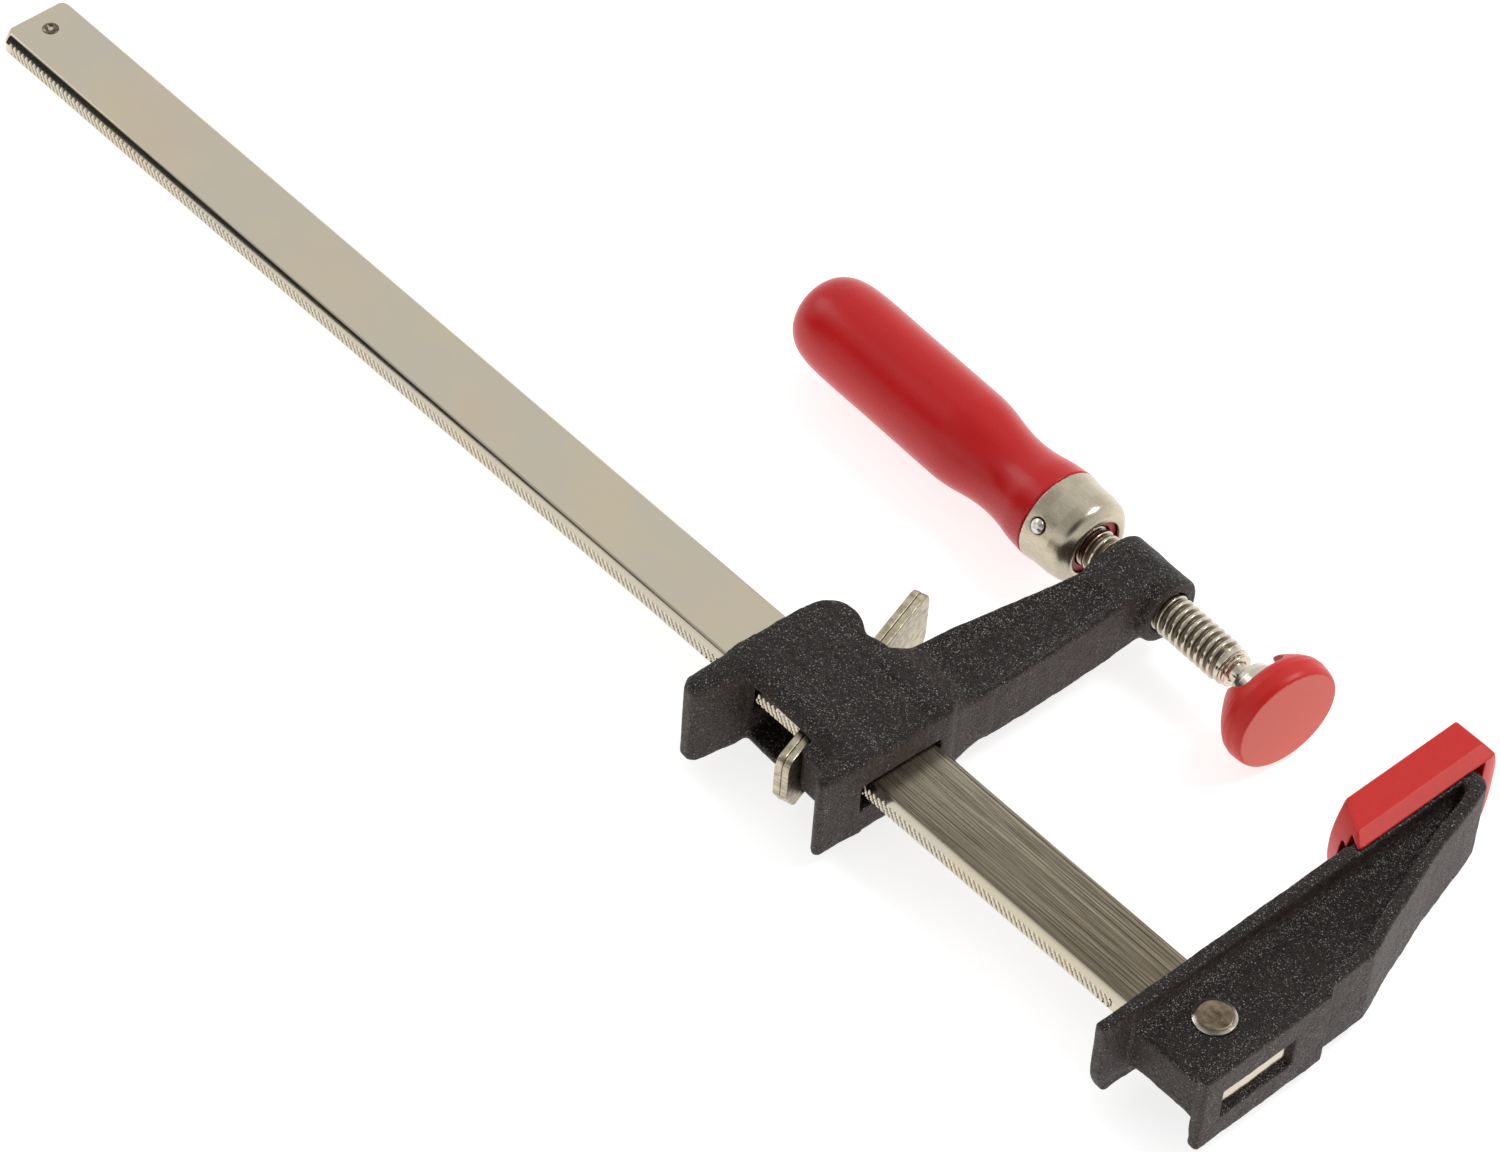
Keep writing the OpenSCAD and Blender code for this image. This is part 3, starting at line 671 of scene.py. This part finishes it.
lo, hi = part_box("rail_stop_pin")
px, py, pz, pr = (lo.x + hi.x) * 500, (lo.y + hi.y) * 500, BT + 0.45, (hi.x - lo.x) * 500
lathe("stop_pin", [(0, -pz + 0.5), (pr * 0.3, -pz + 0.45, 0.3), (pr * 0.62, -pz, 0.4), (pr * 0.95, -pz + 0.3, 0.3), (pr, -BT + 0.3, 0.2), (pr, BT - 0.3, 0.2), (pr * 0.95, pz - 0.3, 0.3), (pr * 0.62, pz, 0.4),
      (pr * 0.3, pz - 0.45, 0.3), (0, pz - 0.5)], 48,
      Matrix.Translation((px, py, 0)), rivet_mat, "fixed", ["rail_stop_pin"])

# ---------------------------------------------------------------- fixed jaw
jaw_z, nose_z, face_x, back_x, fl = 10.98, 9.81, 8.63, 34.43, 3.2
web, webb = 4.05, 5.76
jaw_out = rounded([(face_x, -22.6, 1.0), (face_x + fl, -22.6, 1.0), (face_x + fl, -14.07, 1.0), (back_x - fl, -14.07, 1.0),
                   (back_x - fl, -16.2, 0.6), (back_x, -16.42, 1.4), (back_x, 19.83, 0.8), (32.62, 22.28, 1.2), (32.41, 34.75, 6), (30.81, 39.12, 6),
                   (28.36, 45.3, 8), (26.01, 52.77, 8), (22.71, 62.47, 8), (20.47, 70.89, 8), (18.34, 79.42, 8), (16.63, 84.64, 4), (14.28, 88.05, 3),
                   (11.73, 89.76, 2), (face_x, 89.86, 0.5)], 4)
jaw_pock = rounded([(face_x + fl, -31.98), (back_x - fl, -31.98), (back_x - fl, 18.55, 1.5), (29.74, 21.21, 4), (29.21, 34.11, 6), (27.72, 37.95, 6), (25.26, 44.24, 8),
                    (22.92, 51.7, 8), (19.61, 61.4, 8), (17.16, 69.82, 8), (15.56, 76.75, 4), (14.18, 81.23, 2.5), (face_x + fl, 83.36, 1)], 4)


def f_jaw(x, y, z):
    az = np.abs(z)
    d = ext(poly(x, y, jaw_out), z, jaw_z, 0.9)
    # the front flange's end is rounded off below
    d = smax(d, -(y - -22.6) - 0.0 + np.maximum(-z - 1.0, 0) ** 2 * 0.028 - 0.0, 1.0)
    p = poly(x, y, jaw_pock)
    t = np.clip((36.24 - y) / 23.45, 0, 1)
    floor = web + (webb - web) * t * t * (3 - 2 * t)
    d = smax(d, -smax(p, floor - az + 0 * x, 3.6), 1.2)
    end = np.minimum(np.sqrt((y - 73.98) ** 2 + z * z) - 16.2, y - 74.62) + 0 * x
    d = smax(d, end, 1.6)
    d = d + 0.10 * ripple(x, y, z, 4.5) + 0.05 * ripple(x, y, z, 1.5, 2.0)
    d = smax(d, -brick(x, y, z * 0 + az, (face_x - 2, 50.64, nose_z), (face_x + fl + 1.0, 104.47, 20), 0.3), 0.4)
    nose = brick(x, y, z, (2.77 + 0.1, 61.83, -nose_z + 0.8), (face_x + 1, 88.05, nose_z - 0.8), 0.6)
    d = smin(d, nose, 0.4)
    d = smax(d, -brick(x, y, z, (4.26, -BH - 0.05, -BT - 0.05), (51.17, BH + 0.05, BT + 0.05), 0.1), 0.25)
    d = smax(d, -brick(x, y, z, (back_x - 1.2, -BH - 0.4, -BT - 0.5), (back_x + 9, BH + 0.4, BT + 0.5), 0.3), 0.5)
    return d


VJ = 0.42
from_sdf("jaw_casting", f_jaw, (2.13, -24.52, -12.15), (35.6, 93.81, 12.15), VJ, JAW, coat, "fixed", ["fixed_jaw"], 1.6)

# ---------------------------------------------------------------- cap of the fixed jaw
cz = 11.73
cw = 2.77
cap_xz = rounded([(0, -cz, 0.5), (8.1, -cz, 0.4), (11.19, -nose_z - 0.45, 0.2), (11.19, nose_z + 0.45, 0.2), (8.1, cz, 0.4), (0, cz, 0.5)], 3)
cap_xy = rounded([(-0.0, 55.75, 0.8), (10.02, 49.78, 0.5), (11.3, 53.3, 0.5), (11.62, 91.68, 1.2), (10.02, 96.37, 1.5), (-0.0, 96.15, 1.0)], 4)


def f_cap(x, y, z):
    d1 = poly(x, z, cap_xz) + 0 * y
    d2 = poly(x, y, cap_xy) + 0 * z
    a = math.radians(-30.8)
    w = x * -math.sin(a) + (y - 55.75) * math.cos(a) - 24.94
    d3 = np.sqrt(w * w + z * z) - 24.94
    d4 = np.minimum(np.sqrt((y - 76.11) ** 2 + z * z) - 20.25, y - 76.75)
    d = smax(smax(d1, d2, 0.5), smax(d3, d4, 0.3), 0.5)
    hole = brick(x, y, z, (cw, 60.76, -nose_z - 0.1), (29.85, 90.4, nose_z + 0.1), 0.5)
    hole = np.minimum(hole, brick(x, y, z, (4.9, 31.98, -6.82), (29.85, 74.62, 6.82), 1.0))
    hole = np.minimum(hole, brick(x, y, z, (7.04, 31.98, -nose_z - 0.1), (29.85, 74.62, nose_z + 0.1), 0.5))
    d = smax(d, -hole, 0.35)
    d = smax(d, x - (face_x + fl - 0.2), 0.3)
    return d


VC = 0.3
from_sdf("jaw_cap", f_cap, (-0.64, 47.97, -12.37), (12.15, 97.43, 12.37), VC, JAW, red, "fixed", ["fixed_jaw_cap"])

# ---------------------------------------------------------------- rivet
lo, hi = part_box("fixed_jaw_rivet")
rr, rz = (hi.x - lo.x) * 500 * 1.05, hi.z * 1000
# the depth attribute marks the rim, which rivet_steel paints as a highlight
lathe("jaw_rivet", [(0, -rz), (rr - 1.1, -rz - 0.0, 0.8), (rr, -rz + 0.62, 0.35), (rr, -5.81), (2.5, -5.81), (2.5, 5.81), (rr, 5.81), (rr, rz - 0.62, 0.35),
      (rr - 1.1, rz + 0.0, 0.8), (rr * 0.45, rz - 0.06, 1.5), (0, rz - 0.12)], 72, Matrix.Translation(((lo.x + hi.x) * 500, (lo.y + hi.y) * 500, 0)),
      rivet_mat, "fixed", ["fixed_jaw_rivet"], attrs={"depth": lambda r, z: 1.0 if r > rr - 0.75 else 0.0})

# ---------------------------------------------------------------- sliding arm
hub_l, hub_z, arm_z = 41.57, 11.73, 8.1
wall_b, wall_f = 7.04, 35.18
slot_z = BT + 0.35
slot_v0, slot_v1 = -(BH + 0.5), BH + hub_l * math.tan(-TH) + 0.35
cav_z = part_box("clutch_plate_1")[1].z * 1000 + 0.5
nose = ARM.inverted() @ Vector([v * 1000 for v in J["clutch_release"]["pos_m"]])
nose_r = 2.56
boss_u0, boss_u1, boss_r = 24.09, 41.79, 8.21
hub_poly = rounded([(-0.3, -12.26, 1.0), (hub_l, -12.26, 0.8), (hub_l, 14.92, 1.0), (hub_l - 1.5, 16.31, 1.5), (20.68, 16.31, 1.0), (13.75, 14.5, 1.0),
                    (6.4, 16.2, 2), (-0.3, 9.59, 2)], 4)
leg_l = rounded([(0.1, -24.09, 1.5), (1.6, -26.22, 1.2), (4.26, -26.44, 1.2), (5.65, -24.94, 1.2), (wall_b, -14.92, 3), (wall_b, -9.59), (-0.3, -9.59)], 4)
roof = rounded([(-5.33, cav_z), (-13.5, cav_z, 0.4), (-13.7, cav_z + 0.9, 0.6), (-12.9, hub_z - 0.8, 1.2), (-10.7, hub_z, 1.0), (-5.33, hub_z)], 4)
leg_r = rounded([(wall_f, -9.59), (wall_f, -14.5, 3), (hub_l - 2.67, -21.21, 1.2), (hub_l - 1.28, -21.85, 1.2), (hub_l - 0.2, -20.89, 1.2), (hub_l, -9.59)], 4)
arm_poly = rounded([(20.57, 12.79), (20.57, 21.32, 5), (21.32, 31.66, 8), (23.24, 44.35, 8), (25.16, 57.03, 8), (26.01, 65.03, 4), (24.52, 69.72, 3), (24.52, AY - 2),
                    (38.8, AY - 2), (38.8, 70.36, 4), (39.55, 60.44, 8), (40.08, 45.3, 8), (40.19, 30.81, 8), (39.66, 22.07, 4), (40.51, 17.59, 2), (40.51, 12.79)], 4)
panel = rounded([(22.81, 24.09, 3), (24.94, 21.75, 3), (37.74, 21.32, 3), (39.02, 23.45, 3), (38.91, 44.77, 8), (38.16, 60.76, 5), (35.82, 65.45, 4), (30.27, 65.03, 4), (27.08, 60.34, 5)], 5)
slope = rounded([(10.66, -hub_z), (15.99, -hub_z, 2), (21.75, -arm_z, 3), (27.72, -arm_z + 2), (27.72, arm_z - 2), (21.75, arm_z, 3), (15.99, hub_z, 2), (10.66, hub_z)], 4)
lever_gap = [(13.22, 8.53), (11.09, 17.06), (10.66, 25.58), (20.57, 25.58), (20.57, 16.31), (22.81, 8.53)]
tl = math.radians(19.2)
sv = 14.82


def f_arm(u, v, z):
    az = np.abs(z)
    lobe = np.sqrt((u - 6.72) ** 2 + (v - 10.02) ** 2) - 7.04
    d = ext(smin(poly(u, v, hub_poly), lobe, 1.5), z, hub_z - 0.35, 1.6)
    d = smin(d, brick(u, v, z, (-0.3, -10.9, -hub_z), (hub_l - 0.2, 8.4, hub_z), 1.1), 0.5)
    d = smin(d, ext(poly(v, z, roof) + 0 * u, u, hub_l / 2 + 0.1, 0.5, hub_l / 2 - 0.1), 0.7)
    d = smin(d, ext(poly(u, v, leg_l), z, hub_z, 2.0), 1.0)
    d = smin(d, ext(poly(u, v, leg_r), z, hub_z, 1.4), 1.0)
    a = ext(poly(u, v, arm_poly), z, arm_z, 1.1)
    sl = ext(poly(v, z, slope) + 0 * u, u, (40.08 - 20.57) / 2, 1.4, (40.08 + 20.57) / 2)
    a = smin(a, sl, 1.2)
    boss = ext(np.sqrt((v - AY) ** 2 + z * z) - boss_r + 0 * u, u, (boss_u1 - boss_u0) / 2 + 0.2, 1.35, (boss_u1 + boss_u0) / 2)
    a = smin(a, boss, 1.6)
    a = smax(a, -smax(poly(u, v, panel), arm_z - 1.5 - az, 2.4), 1.3)
    d = smin(d, a, 1.5)
    d = d + 0.11 * ripple(u, v, z, 5.0, 1.0) + 0.05 * ripple(u, v, z, 1.6, 3.0)
    ch = brick(u, v, z, (wall_b, -53.3, -cav_z), (wall_f, BH + 0.4, cav_z), 1.2)
    d = smax(d, -ch, 1.0)
    d = smax(d, -ext(poly(u, v, lever_gap), z, cav_z, 0.5), 0.8)
    rib = np.minimum(np.sqrt((u - nose.x) ** 2 + (v - nose.y) ** 2) - nose_r, brick(u, v, z * 0, (nose.x, nose.y - nose_r, -9), (wall_f + 2, nose.y + nose_r, 9), 0.2))
    rib = ext(rib, z, (cav_z + 2.5) / 2, 0.5, (cav_z + 0.5 - 2) / 2)
    d = smin(d, rib, 0.5)
    d = smax(d, -brick(u, v, z, (-30, slot_v0, -slot_z), (hub_l + 30, slot_v1, slot_z), 0.3), 0.5)
    d = smax(d, -np.maximum(np.sqrt((v - sv) ** 2 + z * z) - 2.95, np.maximum(14.92 - u, u - 33.15)), 0.3)
    d = smax(d, -(np.sqrt((v - AY) ** 2 + z * z) - 5.06 + 0 * u), 0.7)
    return d


VA = 0.45
from_sdf("arm_casting", f_arm, (-1.28, -27.72, -12.79), (43.07, 87.41, 12.79), VA, ARM, coat, "arm", ["sliding_arm"], 1.6)

# ---------------------------------------------------------------- clutch plates
pu, pt = 21.32, 1.75
plo, phi_, pw = -23.24, 36.46, 16.42 / 2
g = 0.45
PLATE = ARM @ Matrix.Translation((pu, 0, 0)) @ Matrix.Rotation(tl, 4, "Z")
plate_poly = rounded([(plo, -pw * 0.3, 1.5), (plo + 3.62, -pw, 2.5), (phi_, -pw, 3.4), (phi_, pw, 3.4), (plo, pw, 3.0)], 6)
w0 = -BH / math.cos(tl) - g - pt * math.tan(tl)
w1 = w0 + 2 * BH / math.cos(tl) + 2 * g + 2 * pt * math.tan(tl) + 1.28
win = rounded([(w0, -BT - g, 0.3), (w1, -BT - g, 0.3), (w1, BT + g, 0.3), (w0, BT + g, 0.3)], 3)


def f_plate(off, seed):
    def f(n, s, z):
        d = poly(s, z, plate_poly)
        d = ext(smax(d, -poly(s, z, win), 0.3) + 0 * n, n, pt / 2, 0.28, off + pt / 2)
        return d + 0.03 * ripple(n, s, z, 2.5, seed)
    return f


VP = 0.34
for i, off in ((1, -pt), (2, 0.04)):
    from_sdf(f"clutch_plate_{i}_steel", f_plate(off, i * 2.0), (off - 0.7, plo - 1, -pw - 1), (off + pt + 0.7, phi_ + 1, pw + 1), VP, PLATE, plate_mat, "clutch",
             [f"clutch_plate_{i}"])

# ---------------------------------------------------------------- clutch spring
su0 = pu - sv * math.tan(tl) + (pt + 0.15) / math.cos(tl) + 2.4 * math.tan(tl) + 0.4
su1 = 33.05 - 0.4
turns, seg, m, wr, sr = 6, 40, 12, 0.4, 2.25
P, F = [], []
for i in range(turns * seg + 1):
    c = i / seg
    L = su1 - su0
    along = c * 0.84 if c < 1 else (L - (turns - c) * 0.84 if c > turns - 1 else 0.84 + (c - 1) / (turns - 2) * (L - 1.68))
    a = 2 * math.pi * c
    for j in range(m):
        b = 2 * math.pi * j / m
        r = sr + wr * math.cos(b)
        P.append((r * math.cos(a), r * math.sin(a), su0 + along + wr * math.sin(b)))
for i in range(turns * seg):
    for j in range(m):
        F.append((i * m + j, i * m + (j + 1) % m, (i + 1) * m + (j + 1) % m, (i + 1) * m + j)[::-1])
F.append(tuple(range(m)))
F.append(tuple(turns * seg * m + j for j in range(m - 1, -1, -1)))
coil = piece("spring_coil", P, F, ARM @ Matrix.Translation((0, sv, 0)) @ AXIS, spring_mat, "arm", ["clutch_spring"])
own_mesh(coil)

# ---------------------------------------------------------------- screw
R0, ROOT = 4.98, 4.08
t0, t1, su, tang, neck, br = 3.73, 60.12, 62.57, -25.58, 2.4, 3.94
lead = 2.0
SEG = 96


def build_screw():
    us = [tang, tang + 0.6, t0 - 1.2, t0 - 0.6] + list(np.arange(t0 - 0.5, t1 + 1.6, 0.1))
    body = []
    th = 2 * math.pi * np.arange(SEG) / SEG
    rows, dep = [], []
    for i, u in enumerate(us):
        if u < t0 - 0.55:
            r = np.full(SEG, 3.0 if i == 0 else 3.4)
            dp = np.zeros(SEG)
        else:
            ph = np.mod((u - lead * th / (2 * math.pi)) / lead, 1.0)
            s = np.clip(0.5 + 0.78 * np.cos(2 * math.pi * ph), 0, 1)
            s = s * s * (3 - 2 * s)
            fade = min(1.0, max(0.0, (t1 + 0.6 - u) / 1.4))
            root = ROOT + (4.55 - ROOT) * (1 - fade)
            top = R0 - (R0 - 4.6) * (1 - fade)
            r = root + (top - root) * s
            r = np.where(u < t0 + 0.5, np.minimum(r, 3.4 + (u - t0 + 0.5) * 1.6), r)
            dp = (1 - s) * fade
        rows.append(np.stack([r * np.cos(th), r * np.sin(th), np.full(SEG, u)], 1))
        dep.append(dp)
    for r, u in [(4.6, t1 + 1.75), (4.6, su - 0.75), (4.5, su - 0.45), (4.2, su - 0.1), (3.9, su), (2.9, su), (neck + 0.15, su + 0.05), (neck, su + 0.25), (neck, BALL_U - br * 0.86)]:
        rows.append(np.stack([r * np.cos(th), r * np.sin(th), np.full(SEG, u)], 1))
        dep.append(np.zeros(SEG))
    a0 = math.asin(neck / br)
    for k in range(1, 15):
        a = a0 + (math.pi - a0) * k / 15
        r, u = br * math.sin(a), BALL_U - br * math.cos(a)
        rows.append(np.stack([r * np.cos(th), r * np.sin(th), np.full(SEG, u)], 1))
        dep.append(np.zeros(SEG))
    G = np.stack(rows)
    n = len(G)
    P = G.reshape(-1, 3)
    base = np.arange(n - 1)[:, None] * SEG
    k = np.arange(SEG)
    k2 = (k + 1) % SEG
    F = np.stack([base + k, base + k2, base + SEG + k2, base + SEG + k], 2).reshape(-1, 4).tolist()
    P = np.vstack([P, [0, 0, tang], [0, 0, BALL_U + br]])
    for i in range(SEG):
        j = (i + 1) % SEG
        F.append((len(P) - 2, j, i))
        F.append((len(P) - 1, (n - 1) * SEG + i, (n - 1) * SEG + j))
    return P, F, list(np.concatenate(dep)) + [0, 0]


# dep (thread-root depth) drives the painted shade in screw_steel
P, F, dep = build_screw()
scr = piece("spindle", P, F, SCREW, screw_mat, "screw", ["screw"], None, {"depth": dep})

lathe("neck_ring", [(2.75, su + 0.12, 0.1), (4.16, su + 0.12, 0.15), (4.16, su + 0.72, 0.15), (2.75, su + 0.72, 0.1), (2.75, su + 0.12)], 64, SCREW, screw_mat, "screw_carrier",
      ["neck_washer"])

# ---------------------------------------------------------------- handle, ferrule and pin
hp, fr = 23.35 / 2, 23.03 / 2
w = 5.54
z = w - 82.93
handle_pts = [(0, z), (hp * 0.2, z + 0.12), (hp * 0.42, z + 0.6), (hp * 0.62, z + 1.55), (hp * 0.79, z + 3.2), (hp * 0.905, z + 5.6), (hp * 0.968, z + 8.6), (hp, z + 13), (hp, z + 30),
              (hp, w - 30.91), (hp * 0.997, w - 29.42), (hp * 0.978, w - 26.86), (hp * 0.945, w - 24.3), (hp * 0.90, w - 21.53), (hp * 0.862, w - 18.55),
              (hp * 0.842, w - 15.35), (hp * 0.848, w - 12.15), (hp * 0.884, w - 8.74), (hp * 0.94, w - 5.33), (fr - 0.15, w - 1.49), (fr - 0.05, w - 0.06)]
prof = smooth_profile(handle_pts, 0.6)
tail = [(fr - 1.3, w - 0.05), (fr - 1.35, w + 5.33), (fr - 1.8, w + 9.17), (6.93, w + 11.73 - 0.3), (5.3, w + 11.73 - 0.3), (5.2, w + 9.59), (5.2, tang - 1), (0, tang - 1)]
prof = np.vstack([prof, np.array(rounded_open([tuple(prof[-1])] + [q + (0.15,) for q in tail[:-1]] + [tail[-1]], 3))[1:]])
P, F = revolve(prof, 112)
n2 = profile_normals(prof)
th = 2 * math.pi * np.arange(112) / 112
N = []
for (r, zz), n in zip(prof, n2):
    if r < 1e-6:
        N.append((0, 0, math.copysign(1, n[1])))
    else:
        N += [(n[0] * math.cos(t), n[0] * math.sin(t), n[1]) for t in th]
piece("wooden_handle", P, F, SCREW, wood, "screw", ["handle"], N)

fer = rounded([(fr, w, 0.2), (fr - 0.12, 6.61, 2), (fr - 0.42, 8.53, 3), (fr - 0.5, 13.01, 3), (fr - 1.0, 16.2, 3), (fr - 3.1, 18.12, 2.5), (7.68, 18.34, 0.5), (6.93, 18.02, 0.3), (6.93, 17.32, 0.2),
               (fr - 1.75, 14.82, 1.5), (fr - 1.3, 10.87, 1), (fr - 1.15, w, 0.2)], 5)
pin_u, pin_r, pin_a = 8.95, 1.71, math.radians(150)


def f_ferrule(x, y, zz):
    r = np.sqrt(x * x + y * y)
    d = poly(r, zz, fer)
    c, s = math.cos(pin_a), math.sin(pin_a)
    q = np.sqrt((-x * s + y * c) ** 2 + (zz - pin_u) ** 2) - (pin_r + 0.22)
    return smax(d, -q, 0.35)


VF = 0.3
from_sdf("handle_ferrule", f_ferrule, (-fr - 1, -fr - 1, w - 1), (fr + 1, fr + 1, 19.61), VF, SCREW, nickel, "screw", ["ferrule"])
pl = fr + 0.42
lathe("cross_pin", [(0, -pl), (pin_r * 0.45, -pl + 0.05, 0.3), (pin_r, -pl + 0.5, 0.35), (pin_r, pl - 0.5, 0.35), (pin_r * 0.45, pl - 0.05, 0.3), (0, pl)], 40,
      SCREW @ Matrix.Translation((0, 0, pin_u)) @ Matrix.Rotation(pin_a, 4, "Z") @ Matrix.Rotation(math.pi / 2, 4, "Y"), pin_mat, "screw", ["handle_pin"])

# ---------------------------------------------------------------- swivel pad and its cap
pf, pp = 10.45, 25.9 / 2
sock = [((br + 0.05) * math.sin(math.radians(a)), -(br + 0.05) * math.cos(math.radians(a))) for a in (180, 160, 140, 120, 105, 90, 75, 60, 50, 43)]
sock[0] = (0, sock[0][1])
lathe("pad_plate", sock + [(3.2, -3.62, 0.2), (3.84, -3.62, 0.4), (4.9, -3.3, 0.8), (5.54, -1.71, 1.2), (5.97, 2.35, 1.2), (7.25, 3.84, 0.8), (11.3, 4, 0.4),
      (11.83, 4.48, 0.3), (11.83, 6.72, 0.3), (11.3, 7.2, 0.3), (0, 7.2)], 96, PAD, pad_mat, "pad", ["swivel_pad"])
pad_prof = rounded([(-4, pf), (pp + 0.05, pf, 0.9), (pp + 0.55, pf - 1.28, 1.5), (pp + 0.85, 6.61, 1.5), (pp + 0.55, 4.9, 1.4), (pp - 0.3, 3.41, 1.5), (pp - 1.6, 1.71, 2), (pp - 3.2, 0, 2), (pp - 5.4, -2.03, 0.7),
                    (6.61, -2.03, 0.4), (6.72, 3.73, 0.3), (11.99, 3.84, 0.2), (11.99, 7.3, 0.3), (-4, 7.3)], 5)


def f_pad(x, y, zz):
    r = np.sqrt(x * x + y * y)
    d = poly(r, zz, pad_prof)
    c, s = math.cos(math.radians(14)), math.sin(math.radians(14))
    xr, yr = x * c + y * s, -x * s + y * c
    return smax(d, -brick(xr, yr, zz, (-5.76, 0, -5.33), (5.76, 25.58, 3.52), 1.6), 0.9)


P, F, N = nets(f_pad, (-pp - 1.6, -pp - 1.6, -3.2), (pp + 1.6, pp + 1.6, 11.3), VC)
flat = np.clip((N[:, 2] - 0.9) / 0.09, 0, 1) * (P[:, 2] > pf - 1)
piece("pad_cap", P, F, PAD, red_pad, "pad", ["swivel_pad_cap"], N, {"face": flat})

# ---------------------------------------------------------------- stage
zmin = min(cad_box[0][2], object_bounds()[0][2])
fm = Mat("pale_floor")
fm.set(Base_Color=(0.5, 0.5, 0.5, 1), Roughness=0.9, Emission_Color=(1, 1, 1, 1), Emission_Strength=0.78)
fm.b.inputs["Specular IOR Level"].default_value = 0.1
fm.bump((fm.noise(3.0), 0.0002, 0.05))
me = bpy.data.meshes.new("floor")
s = 6.0
me.from_pydata([(-s, -s, zmin - 0.0006), (s, -s, zmin - 0.0006), (s, s, zmin - 0.0006), (-s, s, zmin - 0.0006)], [], [(0, 1, 2, 3)])
me.materials.append(fm.m)
floor = bpy.data.objects.new("floor", me)
bpy.context.scene.collection.objects.link(floor)

CAM_BACK = Vector((0.4782875213096289, -0.48135565260277097, 0.7345323564465022))
world = bpy.data.worlds.new("studio")
bpy.context.scene.world = world
world.use_nodes = True
wt = world.node_tree
wt.nodes.clear()


def wn(kind, **kw):
    n = wt.nodes.new(kind)
    for k, v in kw.items():
        setattr(n, k, v)
    return n


def wmath(op, a, b=0.0):
    n = wn("ShaderNodeMath", operation=op)
    for i, v in enumerate((a, b)):
        if isinstance(v, bpy.types.NodeSocket):
            wt.links.new(v, n.inputs[i])
        else:
            n.inputs[i].default_value = v
    return n.outputs[0]


def wspan(v, a0, a1, b0, b1):
    n = wn("ShaderNodeMapRange", clamp=True, interpolation_type="SMOOTHSTEP")
    for k, x in (("Value", v), ("From Min", a0), ("From Max", a1), ("To Min", b0), ("To Max", b1)):
        if isinstance(x, bpy.types.NodeSocket):
            wt.links.new(x, n.inputs[k])
        else:
            n.inputs[k].default_value = x
    return n.outputs[0]


def wdot(vec):
    n = wn("ShaderNodeVectorMath", operation="DOT_PRODUCT")
    wt.links.new(way, n.inputs[0])
    n.inputs[1].default_value = Vector(vec).normalized()
    return n.outputs["Value"]


way = wn("ShaderNodeTexCoord").outputs["Generated"]
sep = wn("ShaderNodeSeparateXYZ")
wt.links.new(way, sep.inputs[0])
wx, wy, wz = sep.outputs
sky = wspan(wz, 0.22, 0.62, 1.0, 0.5)                                    # bright near the horizon, dimmer overhead
sky = wmath("ADD", sky, wspan(wdot((-0.52, 0.44, 0.73)), 0.78, 0.96, 0.0, 0.30))   # soft box opposite the camera
sky = wmath("MULTIPLY", sky, wspan(wdot(CAM_BACK), 0.80, 0.985, 1.0, 0.10))        # the dark place the camera stands in
edge = wmath("ADD", wmath("MULTIPLY", wx, 2.6), 2.6 * 0.615 + 0.06)
card = wspan(wmath("SUBTRACT", wz, edge), -0.01, 0.015, 0.0, 1.0)        # a black card low on the left
card = wmath("MULTIPLY", card, wspan(wz, 0.50, 0.56, 1.0, 0.0))
card = wmath("MULTIPLY", card, wspan(wy, -0.56, -0.62, 0.0, 1.0))
sky = wmath("MULTIPLY", sky, wmath("SUBTRACT", 1.0, wmath("MULTIPLY", card, 0.97)))
bg = wn("ShaderNodeBackground")
wt.links.new(sky, bg.inputs[1])
bg.inputs[0].default_value = (1.0, 0.995, 0.985, 1)
wo = wn("ShaderNodeOutputWorld")
wt.links.new(bg.outputs[0], wo.inputs[0])


def area(name, pos, target, size, power, color=(1, 1, 1)):
    L = bpy.data.lights.new(name, "AREA")
    L.shape = "RECTANGLE"
    L.size, L.size_y = size
    L.energy = power
    L.color = color
    o = bpy.data.objects.new(name, L)
    o.location = pos
    o.rotation_euler = (Vector(target) - Vector(pos)).to_track_quat("-Z", "Y").to_euler()
    bpy.context.scene.collection.objects.link(o)
    return o


mid = Vector((-0.10, -0.05, 0))
area("key", mid + Vector((0.32, 0.62, 1.0)), mid, (0.40, 0.40), 5.2, (1.0, 0.985, 0.96))
area("side", mid + Vector((-0.95, -0.25, 0.75)), mid, (0.5, 0.5), 1.5)

cam = bpy.data.cameras.new("camera")
co = bpy.data.objects.new("camera", cam)
bpy.context.scene.collection.objects.link(co)
rgt = Vector((0.6682518332776645, 0.742169039250899, 0.05123089398436753))
up = Vector((-0.5698074536898681, 0.46634949649887847, 0.6766369874864298))
M = Matrix((rgt, up, CAM_BACK)).transposed().to_4x4()
M.translation = Vector((0.44616628445342915, -0.6476226015265748, 0.8891270613838995))
co.matrix_world = M
cam.sensor_width = 36
cam.lens = 134.00828741861125
cam.clip_start, cam.clip_end = 0.05, 50
sc = bpy.context.scene
sc.camera = co
sc.view_settings.view_transform = "Standard"
sc.view_settings.look = "None"
sc.view_settings.exposure = 0
sc.view_settings.gamma = 1

bpy.context.view_layer.update()
